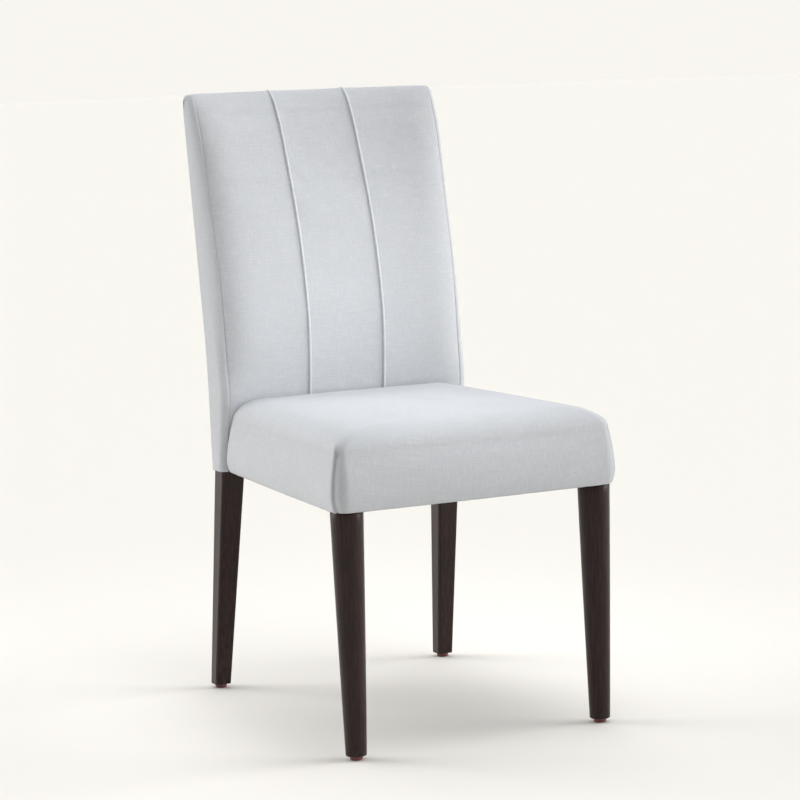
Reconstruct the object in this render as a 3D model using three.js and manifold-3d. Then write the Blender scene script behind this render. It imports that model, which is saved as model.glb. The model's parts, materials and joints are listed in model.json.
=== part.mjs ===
// A parsons dining chair. A wooden frame stands on two turned front legs and two bent rear posts,
// and everything above the legs is upholstered. Millimetres, +Z up, the chair faces -Y.
// The origin is on the floor under the middle of the chair.

import * as THREE from "three";
import { mergeGeometries, mergeVertices } from "three/addons/utils/BufferGeometryUtils.js";
import Module from "manifold-3d";

// Overall sizes
const overallHeight = 992;
const overallDepth = 628;

// Seat cover
const seatFrontWidth = 481;
const seatRearWidth = 427;
const seatEdgeHeight = 496;
const seatSideHeight = 120;
const seatCrown = 7;
const seatFrontRound = 24;
const seatRearRound = 6;
const seatTopRoundWidth = 48;
const seatTopRoundHeight = 34;
const seatRearTopRound = 9;
const seatTuck = 6;
const seatTuckHeight = 24;
const seatDraw = 9;
const seatBelly = 2.5;
const dartHeight = 95;
const dartDepth = 1.6;
const hemWidth = 18;
const seatBackGap = 1.2;

// Back cover
const backFootWidth = 439;
const backTopWidth = 449;
const backEdgeRound = 12;
const backEdgeDepth = 36;
const backRearRound = 8;
const backRearEdgeRound = 6;
const backTopRoundHeight = 38;
const lumbarPadding = 28;
const padCrown = 12;
const backLean = 84;
const crestBow = 24;
const weltSpacing = 134;
const weltWidth = 4.4;
const weltRise = 2;
const rearSeamDrop = 24;
const coverOnWood = 3.6;

// Fabric, foam and webbing
const fabric = 1.2;
const dustCloth = 0.5;
const deckCloth = 0.8;
const webbing = 1.8;
const webbingWidth = 50;
const webbingHold = 17;
const webbingRamp = 9;

// Front legs
const legSetback = 34;
const legInset = 32.5;
const legTopDiameter = 50;
const legFootDiameter = 32;
const legBelly = 0.4;
const headSide = 46;
const headRound = 15;

// Rear posts
const postFootSpread = 442;
const postKneeSpread = 434;
const postTopSpread = 441;
const postFootWidth = 27.5;
const postKneeWidth = 40;
const postTopWidth = 30;
const postFootDepth = 27.5;
const postKneeDepth = 38.5;
const postTopDepth = 22;
const postFootInset = 23;
const postKneeInset = 77;
const postTopInset = 30.5;
const postBendHeight = 560;
const postBendBlend = 60;
const postTopDrop = 35;
const postRound = 4;

// Rails and blocks
const railThickness = 22;
const railHeight = 60;
const railReveal = 1;
const rearRailInset = 3;
const crestRailHeight = 60;
const lowerRailHeight = 50;
const lowerRailRise = 64;
const tenonThickness = 10;
const tenonLength = 17;
const tenonShoulder = 8;
const blockThickness = 24;
const blockHeight = 46;

// Fasteners
const screwDiameter = 4.5;
const screwHeadDiameter = 8.6;
const screwHeadHeight = 2.6;
const screwLength = 36;
const screwInset = 13;
const boltDiameter = 8;
const boltHold = 18;
const boltProud = 12;
const washerDiameter = 20;
const washerThickness = 1.6;
const nutAcross = 13;
const nutHeight = 6.5;

// Glides
const glideHeight = 7;
const glideDiameter = 19.5;
const glideRound = 2;
const pinDiameter = 3;
const pinLength = 20;

// Clearances and overruns
const gap = 0.3;
const seamGap = 0.4;
const overrun = 30;

// Shares along the outlines, and counts
const backLevelShares = [0, 0.1, 0.2, 0.27, 0.36, 0.46, 0.56, 0.66, 0.76, 0.85, 0.93, 1];
const frontLeanShares = [0.3, 0.168, 0.036, 0.09, 0.14, 0.22, 0.36, 0.52, 0.67, 0.85, 1.14];
const frontBowShares = [0, 0.06, 0.2, 0.06, 0.01, 0.06, 0.1, 0.32, 0.74, 1.08, 1];
const padCrownShares = [0, 0, 0.02, 0.72, 1, 1, 1, 1, 0.9, 0.68, 0];
const edgeDepthShares = [0, 0, 0, 0.1, 0.5, 0.9, 1, 1, 0.8, 0.5, 0.3];
const rearBowShares = [0, 0, 0, 0, 0.03, 0.08, 0.18, 0.34, 0.56, 0.8, 1];
const backColumnShares = [0.17, 0.5, 0.68, 0.85, 1];
const seatWallShares = [0, 0.03, 0.09, 0.2, 0.34, 0.52, 0.72, 0.87, 1];
const seatCrownShares = [0.4, 0.7, 0.9];
const seatCrownInsetShares = [0.42, 0.62, 0.82];
const boltHeightShare = 0.5;
const seatStrapShares = [-0.75, -0.25, 0.25, 0.75];
const backStrapShares = [-0.4, 0.4];
const backCrossShares = [0.14, 0.42, 0.7];
const padCrownPower = 6;
const seatDrawPower = 1.6;
const weldShare = 0.001;
const roundSteps = 4;
const turnedSides = 32;
const smallSides = 10;

// Places worked out from the sizes
const frontFace = -overallDepth / 2;
const rearFace = overallDepth / 2;
const skirtHeight = seatEdgeHeight - seatSideHeight;
const legX = seatFrontWidth / 2 - legInset;
const legY = frontFace + legSetback;
const railBottom = skirtHeight + fabric + gap;
const railTop = railBottom + railHeight;
const shaftTop = skirtHeight - gap - dustCloth - gap;
const postTop = overallHeight - postTopDrop;
const kneeFront = rearFace - postKneeInset - postKneeDepth;
const deckBottom = railTop + 2 * webbing + 3 * gap;
const foamBottom = deckBottom + deckCloth + gap;
const seatHem = foamBottom - gap;
const backTop = overallHeight - weltRise * Math.SQRT1_2;
const backHeight = backTop - skirtHeight;
const backArcStart = backTop - backTopRoundHeight;
const rearRailFace = rearFace - postKneeInset - rearRailInset - railThickness;
const sideRailFront = legY + headSide / 2 + gap;
const sideRailRear = kneeFront - gap;

const wasm = await Module();
wasm.setup();

const lerp = THREE.MathUtils.lerp;
const point = (x, y, z) => new THREE.Vector3(x, y, z);

// Materials
const finish = (color, roughness, metalness) =>
  new THREE.MeshStandardMaterial({ color, roughness, metalness });
const stainedWood = finish(0x2f2423, 0.42, 0);
const rawWood = finish(0xc9a878, 0.7, 0);
const linen = finish(0xd6dade, 0.95, 0);
const foamStuff = finish(0xe9e2c2, 0.95, 0);
const blackCloth = finish(0x1e1e20, 0.95, 0);
const strapStuff = finish(0x4a4540, 0.85, 0);
const wadding = finish(0xf2f1ec, 1, 0);
const steel = finish(0xa9acb0, 0.35, 1);
const glidePlastic = finish(0x6b2f2a, 0.5, 0);

// A geometry with its shared corners joined and its empty triangles dropped
function welded(geometry) {
  const bare = geometry.clone();
  for (const name of Object.keys(bare.attributes)) {
    if (name !== "position") bare.deleteAttribute(name);
  }
  const joined = mergeVertices(bare, seamGap * weldShare);
  const index = joined.index.array;
  const kept = [];
  for (let i = 0; i < index.length; i += 3) {
    const [a, b, c] = [index[i], index[i + 1], index[i + 2]];
    if (a !== b && b !== c && c !== a) kept.push(a, b, c);
  }
  joined.setIndex(kept);
  return joined;
}

function toSolid(geometry) {
  const joined = welded(geometry);
  const mesh = new wasm.Mesh({
    numProp: 3,
    vertProperties: Float32Array.from(joined.attributes.position.array),
    triVerts: Uint32Array.from(joined.index.array),
  });
  return new wasm.Manifold(mesh);
}

function toGeometry(solid) {
  const mesh = solid.getMesh();
  const geometry = new THREE.BufferGeometry();
  geometry.setAttribute("position", new THREE.Float32BufferAttribute(mesh.vertProperties, 3));
  geometry.setIndex([...mesh.triVerts]);
  return geometry;
}

const cut = (body, ...tools) =>
  toGeometry(tools.reduce((left, tool) => left.subtract(toSolid(tool)), toSolid(body)));
const join = (a, b) => toGeometry(toSolid(a).add(toSolid(b)));
const common = (a, b) => toGeometry(toSolid(a).intersect(toSolid(b)));

// A closed body from triangles of points, turned so that its faces point out
function closedBody(triangles) {
  let volume = 0;
  for (const [a, b, c] of triangles) volume += a.dot(b.clone().cross(c));
  const facing = volume < 0 ? triangles.map(([a, b, c]) => [a, c, b]) : triangles;
  const geometry = new THREE.BufferGeometry();
  geometry.setFromPoints(facing.flat());
  return welded(geometry);
}

const quad = (a, b, c, d) => [[a, b, c], [a, c, d]];

function fan(ring) {
  const middle = ring.reduce((sum, p) => sum.add(p), point(0, 0, 0)).divideScalar(ring.length);
  return ring.map((p, i) => [middle, p, ring[(i + 1) % ring.length]]);
}

// Walls between rings of the same count, closed at both ends
function ringBody(rings) {
  const triangles = [];
  for (let r = 0; r < rings.length - 1; r += 1) {
    const [low, high] = [rings[r], rings[r + 1]];
    low.forEach((p, i) => {
      const next = (i + 1) % low.length;
      triangles.push(...quad(p, low[next], high[next], high[i]));
    });
  }
  triangles.push(...fan([...rings[0]].reverse()), ...fan(rings[rings.length - 1]));
  return closedBody(triangles);
}

// A sheet between two grids of points
function sheetBody(outer, inner) {
  const triangles = [];
  const rows = outer.length - 1;
  const columns = outer[0].length - 1;
  for (let r = 0; r < rows; r += 1) {
    for (let c = 0; c < columns; c += 1) {
      triangles.push(...quad(outer[r][c], outer[r][c + 1], outer[r + 1][c + 1], outer[r + 1][c]));
      triangles.push(...quad(inner[r][c], inner[r + 1][c], inner[r + 1][c + 1], inner[r][c + 1]));
    }
    const [next, last] = [r + 1, columns];
    triangles.push(...quad(outer[r][0], outer[next][0], inner[next][0], inner[r][0]));
    triangles.push(...quad(outer[r][last], inner[r][last], inner[next][last], outer[next][last]));
  }
  for (let c = 0; c < columns; c += 1) {
    triangles.push(...quad(outer[0][c], inner[0][c], inner[0][c + 1], outer[0][c + 1]));
    triangles.push(...quad(outer[rows][c], outer[rows][c + 1], inner[rows][c + 1], inner[rows][c]));
  }
  return closedBody(triangles);
}

const spread = (low, high, steps) =>
  Array.from({ length: steps + 1 }, (_, i) => lerp(low, high, i / steps));

function tableAt(shares, share) {
  const points = shares.map((value, i) => new THREE.Vector2(i / (shares.length - 1), value));
  return new THREE.SplineCurve(points).getPoint(THREE.MathUtils.clamp(share, 0, 1)).y;
}

// A prism from a plan outline
function prism(outline, bottom, top) {
  const shape = outline instanceof THREE.Shape ? outline : new THREE.Shape(outline);
  const settings = { depth: top - bottom, bevelEnabled: false, curveSegments: roundSteps };
  const body = new THREE.ExtrudeGeometry(shape, settings);
  return body.translate(0, 0, bottom);
}

const block = (x0, x1, y0, y1, z0, z1) =>
  new THREE.BoxGeometry(x1 - x0, y1 - y0, z1 - z0).translate((x0 + x1) / 2, (y0 + y1) / 2, (z0 + z1) / 2);

// A round bar from one point to another
function bar(from, to, diameter, sides = smallSides) {
  const length = from.distanceTo(to);
  const body = new THREE.CylinderGeometry(diameter / 2, diameter / 2, length, sides);
  body.translate(0, length / 2, 0);
  return aimed(body, from, to);
}

function aimed(body, from, to) {
  const direction = to.clone().sub(from).normalize();
  body.applyQuaternion(new THREE.Quaternion().setFromUnitVectors(point(0, 1, 0), direction));
  return body.translate(from.x, from.y, from.z);
}

function mirrored(geometry) {
  const other = welded(geometry).scale(-1, 1, 1);
  const index = other.index.array;
  for (let i = 0; i < index.length; i += 3) [index[i + 1], index[i + 2]] = [index[i + 2], index[i + 1]];
  return other;
}

const group = (bodies) => mergeGeometries(bodies.map(welded));

// Nothing below zero, a straight rise above it, and a soft bend between
function softRamp(value, blend) {
  if (value <= -blend) return 0;
  if (value >= blend) return value;
  return (value + blend) ** 2 / (4 * blend);
}

// The rear post, as functions of the height
const postBend = (z) => softRamp(z - postBendHeight, postBendBlend) / (postTop - postBendHeight);
const legShare = (z) => (railBottom - z) / (railBottom - glideHeight);
const upperShare = (z) => (z - railBottom) / (postTop - railBottom);

function postRear(z) {
  const knee = rearFace - postKneeInset;
  if (z < railBottom) return lerp(knee, rearFace - postFootInset, legShare(z));
  return lerp(knee, rearFace - postTopInset, postBend(z));
}

function postDepth(z) {
  if (z < railBottom) return lerp(postKneeDepth, postFootDepth, legShare(z));
  return lerp(postKneeDepth, postTopDepth, postBend(z));
}

const postFront = (z) => postRear(z) - postDepth(z);

function postOuter(z) {
  if (z < railBottom) return lerp(postKneeSpread, postFootSpread, legShare(z)) / 2;
  return lerp(postKneeSpread, postTopSpread, upperShare(z)) / 2;
}

function postWidth(z) {
  if (z < railBottom) return lerp(postKneeWidth, postFootWidth, legShare(z));
  return lerp(postKneeWidth, postTopWidth, upperShare(z));
}

const postInner = (z) => postOuter(z) - postWidth(z);

// The crest of the back bows to the rear between the posts
const heightShare = (z) => (z - skirtHeight) / backHeight;
const rearBow = (z) => crestBow * tableAt(rearBowShares, heightShare(z));
const bowShape = (x, z) => 1 - Math.min(1, Math.abs(x) / postInner(z)) ** 2;
const frameFront = (x, z) => postFront(z) + rearBow(z) * bowShape(x, z);
const frameRear = (x, z) => postRear(z) + rearBow(z) * bowShape(x, z);

// A ring of points round a rectangle with rounded corners
function roundedRing(x0, x1, y0, y1, z, radius) {
  const centres = [
    [x1 - radius, y0 + radius, -Math.PI / 2],
    [x1 - radius, y1 - radius, 0],
    [x0 + radius, y1 - radius, Math.PI / 2],
    [x0 + radius, y0 + radius, Math.PI],
  ];
  const onCircle = (x, y, a) => point(x + radius * Math.cos(a), y + radius * Math.sin(a), z);
  const corner = ([x, y, start]) => spread(start, start + Math.PI / 2, 2).map((a) => onCircle(x, y, a));
  return centres.flatMap(corner);
}

function rearPost() {
  const levels = [glideHeight, railBottom, postBendHeight - postBendBlend];
  levels.push(...spread(postBendHeight - postBendBlend / 2, postBendHeight + postBendBlend, 3), postTop);
  const section = (z) => roundedRing(postInner(z), postOuter(z), postFront(z), postRear(z), z, postRound);
  return ringBody(levels.map(section));
}

// The front leg, with a square head that the rails join. Only its outer corner is well rounded.
function headShape(clearance) {
  const [half, outer, small] = [headSide / 2 + clearance, headRound + clearance, postRound + clearance];
  const shape = new THREE.Shape();
  shape.moveTo(half, -half + outer);
  shape.absarc(half - small, half - small, small, 0, Math.PI / 2);
  shape.absarc(-half + small, half - small, small, Math.PI / 2, Math.PI);
  shape.absarc(-half + small, -half + small, small, Math.PI, 1.5 * Math.PI);
  shape.absarc(half - outer, -half + outer, outer, 1.5 * Math.PI, 2 * Math.PI);
  return shape;
}

const head = (clearance, bottom, top) => prism(headShape(clearance), bottom, top).translate(legX, legY, 0);

function frontLeg() {
  const [foot, top] = [legFootDiameter / 2, legTopDiameter / 2];
  const profile = spread(0, 1, roundSteps).map((s) => {
    const radius = lerp(foot, top, s) + legBelly * Math.sin(Math.PI * s);
    return new THREE.Vector2(radius, lerp(glideHeight, shaftTop, s));
  });
  profile.unshift(new THREE.Vector2(0, glideHeight));
  profile.push(new THREE.Vector2(0, shaftTop));
  const shaft = new THREE.LatheGeometry(profile, turnedSides).rotateX(Math.PI / 2).translate(legX, legY, 0);
  return join(shaft, head(0, shaftTop - railReveal, railTop));
}

// Side rails narrow to the rear, as the seat does
const railOuterFront = legX + headSide / 2 - railReveal;
const railOuterRear = (seatRearWidth / 2) - seatTuck - fabric - 2 * gap - railReveal;
const sideRailShare = (y) => (y - sideRailFront) / (sideRailRear - sideRailFront);
const railOuter = (y) => lerp(railOuterFront, railOuterRear, sideRailShare(y));
const railInner = (y) => railOuter(y) - railThickness;

function sideRail() {
  const outline = [
    new THREE.Vector2(railInner(sideRailFront), sideRailFront),
    new THREE.Vector2(railOuter(sideRailFront), sideRailFront),
    new THREE.Vector2(railOuter(sideRailRear), sideRailRear),
    new THREE.Vector2(railInner(sideRailRear), sideRailRear),
  ];
  return prism(outline, railBottom, railTop);
}

const frontRailFace = legY - headSide / 2 + railReveal;
const frontRailHalf = legX - headSide / 2 - gap;

function frontRail() {
  const inner = frontRailFace + railThickness;
  return block(-frontRailHalf, frontRailHalf, frontRailFace, inner, railBottom, railTop);
}

// A rail between the posts follows their slope and the bow of the crest
function railBetweenPosts(bottom, top, front, rear) {
  const ring = (s) => {
    const corner = (z, face) => point(s * (postInner(z) - gap), face(s * postInner(z), z), z);
    return [corner(bottom, front), corner(bottom, rear), corner(top, rear), corner(top, front)];
  };
  return ringBody(spread(-1, 1, 4 * roundSteps).map(ring));
}

const rearRail = () =>
  railBetweenPosts(railBottom, railTop, () => rearRailFace, () => rearRailFace + railThickness);
const lowerRailBottom = railTop + lowerRailRise;
const lowerRailTop = lowerRailBottom + lowerRailHeight;
const lowerRailRear = (x, z) => frameFront(x, z) + railThickness;
const lowerRail = () => railBetweenPosts(lowerRailBottom, lowerRailTop, frameFront, lowerRailRear);
const crestRailBottom = postTop - crestRailHeight;
const crestRail = () => railBetweenPosts(crestRailBottom, postTop, frameFront, frameRear);

// Corner blocks lie across the corners, clear of the leg heads and posts
const blockBottom = railBottom + (railHeight - blockHeight) / 2;
const blockTop = blockBottom + blockHeight;

// The plan of a block on the +X side. The wall is the face of the front or rear rail, the corner is the
// point of the head or post that the block passes, and sense is 1 at the front and -1 at the rear.
function blockPlan(wall, sense, cornerX, cornerY) {
  const slope = (railOuterRear - railOuterFront) / (sideRailRear - sideRailFront);
  const line = (shift) => {
    const onSide = (railInner(0) - gap - cornerX + sense * cornerY + shift) / (sense - slope);
    const onWall = wall + sense * gap;
    return [onWall, onSide].map((y) => new THREE.Vector2(cornerX + sense * (y - cornerY) - shift, y));
  };
  const [outerWall, outerSide] = line(0);
  const [innerWall, innerSide] = line(blockThickness * Math.SQRT2);
  return { outerWall, outerSide, innerWall, innerSide, sense };
}

const frontPlan = blockPlan(
  frontRailFace + railThickness, 1, legX - headSide / 2 - gap, legY + headSide / 2 + gap,
);
const rearPlan = blockPlan(rearRailFace, -1, postInner(railBottom) - 2 * gap, kneeFront - 2 * gap);

function cornerBlock(plan) {
  return prism([plan.outerWall, plan.outerSide, plan.innerSide, plan.innerWall], blockBottom, blockTop);
}

// Screws near the ends of a block, from its inner face into the rails
function screwLines(plan) {
  const along = plan.innerSide.clone().sub(plan.innerWall).normalize().multiplyScalar(screwInset);
  const starts = [plan.innerWall.clone().add(along), plan.innerSide.clone().sub(along)];
  const height = (blockBottom + blockTop) / 2;
  return starts.map((start) => {
    const from = point(start.x, start.y, height);
    return [from, from.clone().add(point(1, -plan.sense, 0).setLength(screwLength))];
  });
}

function screw([from, to], clearance) {
  const [headRadius, shank] = [screwHeadDiameter / 2 + clearance, screwDiameter / 2 + clearance];
  const profile = [
    new THREE.Vector2(0, -clearance),
    new THREE.Vector2(headRadius, -clearance),
    new THREE.Vector2(shank, screwHeadHeight + clearance),
    new THREE.Vector2(shank, screwLength - screwHeadHeight),
    new THREE.Vector2(0, screwLength + clearance),
  ];
  return aimed(new THREE.LatheGeometry(profile, smallSides), from, to);
}

// The bolt that draws the leg's head against its block
const boltDirection = point(-1, 1, 0).normalize();
const boltPlace = (along) =>
  point(legX - headSide / 2, legY + headSide / 2, lerp(blockBottom, blockTop, boltHeightShare))
    .addScaledVector(boltDirection, along);
const blockBack = blockThickness + Math.SQRT2 * gap;

function bolt(clearance) {
  const from = boltPlace(-boltHold - clearance);
  return bar(from, boltPlace(blockBack + boltProud + clearance), boltDiameter + 2 * clearance);
}

// A plate with a round hole, on the bolt
function plateOnBolt(outline, thickness, along) {
  const hole = new THREE.Path();
  hole.absarc(0, 0, boltDiameter / 2 + gap, 0, 2 * Math.PI, true);
  outline.holes.push(hole);
  const settings = { depth: thickness, bevelEnabled: false, curveSegments: smallSides };
  const plate = new THREE.ExtrudeGeometry(outline, settings).rotateX(-Math.PI / 2);
  return aimed(plate, boltPlace(along), boltPlace(along + thickness));
}

function washer() {
  const outline = new THREE.Shape();
  outline.absarc(0, 0, washerDiameter / 2, 0, 2 * Math.PI);
  return plateOnBolt(outline, washerThickness, blockBack + gap);
}

function nut() {
  const corners = spread(0, 2 * Math.PI, 6).slice(1);
  const reach = nutAcross / Math.sqrt(3);
  const corner = (a) => new THREE.Vector2(reach * Math.cos(a), reach * Math.sin(a));
  const outline = new THREE.Shape(corners.map(corner));
  return plateOnBolt(outline, nutHeight, blockBack + washerThickness + 2 * gap);
}

// Tenons on the +X ends of the rails, and with a clearance the mortises that take them
function crossTenon(end, middle, bottom, top, clearance) {
  const [low, high] = [bottom + tenonShoulder - clearance, top - tenonShoulder + clearance];
  const half = tenonThickness / 2 + clearance;
  const ring = (x) => [
    point(x, middle(low) - half, low), point(x, middle(low) + half, low),
    point(x, middle(high) + half, high), point(x, middle(high) - half, high),
  ];
  return ringBody([ring(end - tenonLength / 2), ring(end + tenonLength + clearance)]);
}

function sideTenons(clearance) {
  const [bottom, top] = [railBottom + tenonShoulder - clearance, railTop - tenonShoulder + clearance];
  const half = tenonThickness / 2 + clearance;
  const at = (x, y0, y1) => block(x - half, x + half, y0, y1, bottom, top);
  const mid = railThickness / 2;
  const reach = tenonLength + clearance;
  const root = tenonLength / 2;
  const front = at(railOuterFront - mid, sideRailFront - reach, sideRailFront + root);
  const rear = at(railOuterRear - mid, sideRailRear - root, sideRailRear + reach);
  return { front, rear };
}

const frontTenon = (clearance) =>
  crossTenon(frontRailHalf, () => frontRailFace + railThickness / 2, railBottom, railTop, clearance);
const rearTenon = (clearance) =>
  crossTenon(postInner(railTop), () => rearRailFace + railThickness / 2, railBottom, railTop, clearance);
const lowerMiddle = (z) => postFront(z) + railThickness / 2;
const lowerTenon = (clearance) =>
  crossTenon(postInner(lowerRailTop), lowerMiddle, lowerRailBottom, lowerRailTop, clearance);
const crestMiddle = (z) => (postFront(z) + postRear(z)) / 2;
const crestTenon = (clearance) =>
  crossTenon(postInner(postTop), crestMiddle, crestRailBottom, postTop, clearance);

const withTenons = (rail, tenon) => join(join(rail, tenon), mirrored(tenon));

// A webbing strap lies on a base surface and is lifted over the straps that it crosses
function strap(start, end, crossings, place, rests = []) {
  const half = webbingWidth / 2;
  const stops = [[start, 0]];
  for (const [at, over] of crossings) {
    const lift = over ? webbing + gap : 0;
    stops.push([at - half - webbingRamp, 0], [at - half, lift], [at, lift]);
    stops.push([at + half, lift], [at + half + webbingRamp, 0]);
  }
  for (const rest of rests) stops.push([rest, 0]);
  stops.push([end, 0]);
  const across = spread(-half, half, 2);
  const grid = (rise) => stops.map(([along, lift]) => across.map((w) => place(along, w, lift + rise)));
  return sheetBody(grid(webbing), grid(0));
}

const strapX = (share) => share * railInner(sideRailRear);
const strapY = (share) => lerp(frontRailFace + railThickness, rearRailFace, (1 + share) / 2);

function seatLengthStraps() {
  return seatStrapShares.map((xShare, i) => {
    const crossings = seatStrapShares.map((yShare, j) => [strapY(yShare), (i + j) % 2 === 0]);
    const place = (along, w, lift) => point(strapX(xShare) + w, along, railTop + gap + lift);
    const start = frontRailFace + railThickness - webbingHold;
    return strap(start, rearRailFace + webbingHold, crossings, place);
  });
}

function seatCrossStraps() {
  return seatStrapShares.map((yShare, j) => {
    const crossings = seatStrapShares.map((xShare, i) => [strapX(xShare), (i + j) % 2 === 1]);
    const place = (along, w, lift) => point(along, strapY(yShare) + w, railTop + gap + lift);
    const end = railInner(strapY(yShare)) + webbingHold;
    return strap(-end, end, crossings, place);
  });
}

const backStrapX = (share) => share * postInner(crestRailBottom);
const backStrapZ = (share) => lerp(lowerRailTop, crestRailBottom, share);

// The straps of the back lie flat between the posts and follow the bow only near the crest rail
function strapBed(x, z) {
  const last = backStrapZ(backCrossShares[backCrossShares.length - 1]) + webbingWidth;
  const bowed = THREE.MathUtils.smoothstep(z, last, crestRailBottom);
  return lerp(postFront(z), frameFront(x, z), bowed);
}

function backLengthStraps() {
  return backStrapShares.map((xShare, i) => {
    const crossings = backCrossShares.map((zShare, j) => [backStrapZ(zShare), (i + j) % 2 === 1]);
    const place = (along, w, lift) => {
      const x = backStrapX(xShare) + w;
      return point(x, strapBed(x, along) - gap - lift, along);
    };
    const end = crestRailBottom + webbingHold;
    return strap(lowerRailTop - webbingHold, end, crossings, place, [crestRailBottom]);
  });
}

function backCrossStraps() {
  return backCrossShares.map((zShare, j) => {
    const crossings = backStrapShares.map((xShare, i) => [backStrapX(xShare), (i + j) % 2 === 0]);
    const place = (along, w, lift) => {
      const z = backStrapZ(zShare) + w;
      return point(along, strapBed(along, z) - gap - lift, z);
    };
    const end = postInner(backStrapZ(zShare)) + webbingHold;
    return strap(-end, end, crossings, place);
  });
}

// A plan outline inside the frame, notched round the rear posts
function frameOutline(inset) {
  const notch = postInner(railBottom) - 2 * gap;
  const half = [
    [railOuterFront - inset, frontRailFace + inset],
    [railOuterRear - inset, sideRailRear - inset],
    [notch, sideRailRear - inset],
    [notch, rearRailFace + railThickness - inset],
  ];
  const left = half.map(([x, y]) => [-x, y]).reverse();
  return [...half, ...left].map(([x, y]) => new THREE.Vector2(x, y));
}

const deck = () => prism(frameOutline(railThickness / 2), deckBottom, deckBottom + deckCloth);

function dustCover() {
  const cloth = prism(frameOutline(railThickness / 2), skirtHeight - gap - dustCloth, skirtHeight - gap);
  const hole = head(gap, skirtHeight - overrun, skirtHeight);
  return cut(cloth, hole, mirrored(hole));
}

// The outer surface of the back
function frontLine(z) {
  return kneeFront - lumbarPadding + backLean * tableAt(frontLeanShares, heightShare(z));
}

const frontBow = (z) => crestBow * tableAt(frontBowShares, heightShare(z));
const frontCrown = (z) => padCrown * tableAt(padCrownShares, heightShare(z));
const edgeDepth = (z) => lerp(backEdgeRound, backEdgeDepth, tableAt(edgeDepthShares, heightShare(z)));
const rearLine = (z) => postRear(z) + coverOnWood;
const backHalf = (z) => lerp(backFootWidth, backTopWidth, heightShare(z)) / 2;

// One line of the back from its front foot over the top to its rear foot. The share is its place across
// the back, 1 at the side seam, and side is 1 where the line has turned the edge.
function backOutline(share, clearance, round, side, drop) {
  const inset = clearance + (round - clearance) * side;
  const edge = (z) => clearance + (edgeDepth(z) - clearance) * side;
  const bow = 1 - share ** 2;
  const crown = 1 - share ** padCrownPower;
  const front = (z) => frontLine(z) + frontBow(z) * bow - frontCrown(z) * crown + edge(z);
  const rear = (z) => rearLine(z) + rearBow(z) * bow - inset;
  const levels = backLevelShares.map((share) => lerp(skirtHeight, backArcStart, share));
  const level = (face) => (z, i) => [face(z), i === 0 ? z - drop : z];
  const rearTurn = backTop - backRearRound;
  const slope = (front(backArcStart) - front(backArcStart - backTopRoundHeight)) / backTopRoundHeight;
  const arc = new THREE.QuadraticBezierCurve(
    new THREE.Vector2(front(backArcStart), backArcStart),
    new THREE.Vector2(front(backArcStart) + slope * backTopRoundHeight, backTop - inset),
    new THREE.Vector2(rear(rearTurn) + inset - backRearRound, backTop - inset),
  );
  const over = spread(0, 1, roundSteps + 1).slice(1).map((t) => arc.getPoint(t).toArray());
  const radius = backRearRound - inset;
  const turn = [
    rear(rearTurn) + inset - backRearRound + radius * Math.SQRT1_2,
    rearTurn + radius * Math.SQRT1_2,
  ];
  const fall = spread(rearTurn, backArcStart, roundSteps - 1).slice(0, -1).map((z) => [rear(z), z]);
  return [...levels.map(level(front)), ...over, turn, ...fall, ...levels.map(level(rear)).reverse()];
}

// Columns across the back: the middle is flat across, and the ends turn round the edge
function backColumns(welts) {
  const ridge = [weltWidth / 2, weltWidth / 4, -weltWidth / 4, -weltWidth / 2];
  const side = backColumnShares.map((share) => ({ share }));
  const middle = weltSpacing / 2;
  const raised = (d) => (Math.abs(d) < weltWidth / 2 ? weltRise : 0);
  if (welts) side.splice(1, 0, ...ridge.map((d) => ({ at: middle - d, rise: raised(d) })));
  else side.splice(1, 0, { at: middle });
  for (const turn of spread(0, Math.PI / 2, 3).slice(1)) side.push({ share: 1, turn });
  const other = side.map((column) => ({ ...column, mirror: true })).reverse();
  return [...other, { share: 0 }, ...side];
}

function backBody(inset, drop, welts) {
  const columns = backColumns(welts).map((column) => {
    const turn = column.turn ?? 0;
    const flat = (z) => backHalf(z) - backEdgeRound;
    const share = column.share ?? column.at / flat(skirtHeight);
    const lineAt = (round) => {
      const line = backOutline(share, inset, round, 1 - Math.cos(turn), drop);
      return line.map(([y, z]) => {
        const edge = backHalf(z) - round + (round - inset) * Math.sin(turn);
        return [turn > 0 ? edge : column.at ?? column.share * flat(z), y, z];
      });
    };
    const front = lineAt(backEdgeRound);
    const rear = lineAt(backRearEdgeRound);
    const apex = (front.length - 1) / 2;
    return front.map((place, i) => {
      const [x, y, z] = i > apex ? rear[i] : place;
      const rise = column.rise && i <= apex ? column.rise : 0;
      const above = i >= backLevelShares.length ? rise * Math.SQRT1_2 : 0;
      return point(x * (column.mirror ? -1 : 1), y - rise + above, z + above);
    });
  });
  const rows = columns[0].length;
  const triangles = [];
  for (let c = 0; c < columns.length - 1; c += 1) {
    const [a, b] = [columns[c], columns[c + 1]];
    const left = c >= (columns.length - 1) / 2;
    for (let r = 0; r < rows; r += 1) {
      const next = (r + 1) % rows;
      if (left) triangles.push(...quad(a[r], b[r], b[next], a[next]));
      else triangles.push(...quad(b[r], b[next], a[next], a[r]));
    }
  }
  for (const [end, sense] of [[columns[0], 1], [columns[columns.length - 1], -1]]) {
    for (let r = 0; r < (rows - 1) / 2; r += 1) {
      const face = quad(end[r], end[r + 1], end[rows - 2 - r], end[rows - 1 - r]);
      triangles.push(...face.map(([p, q, s]) => (sense > 0 ? [p, q, s] : [p, s, q])));
    }
  }
  return closedBody(triangles);
}

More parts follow.
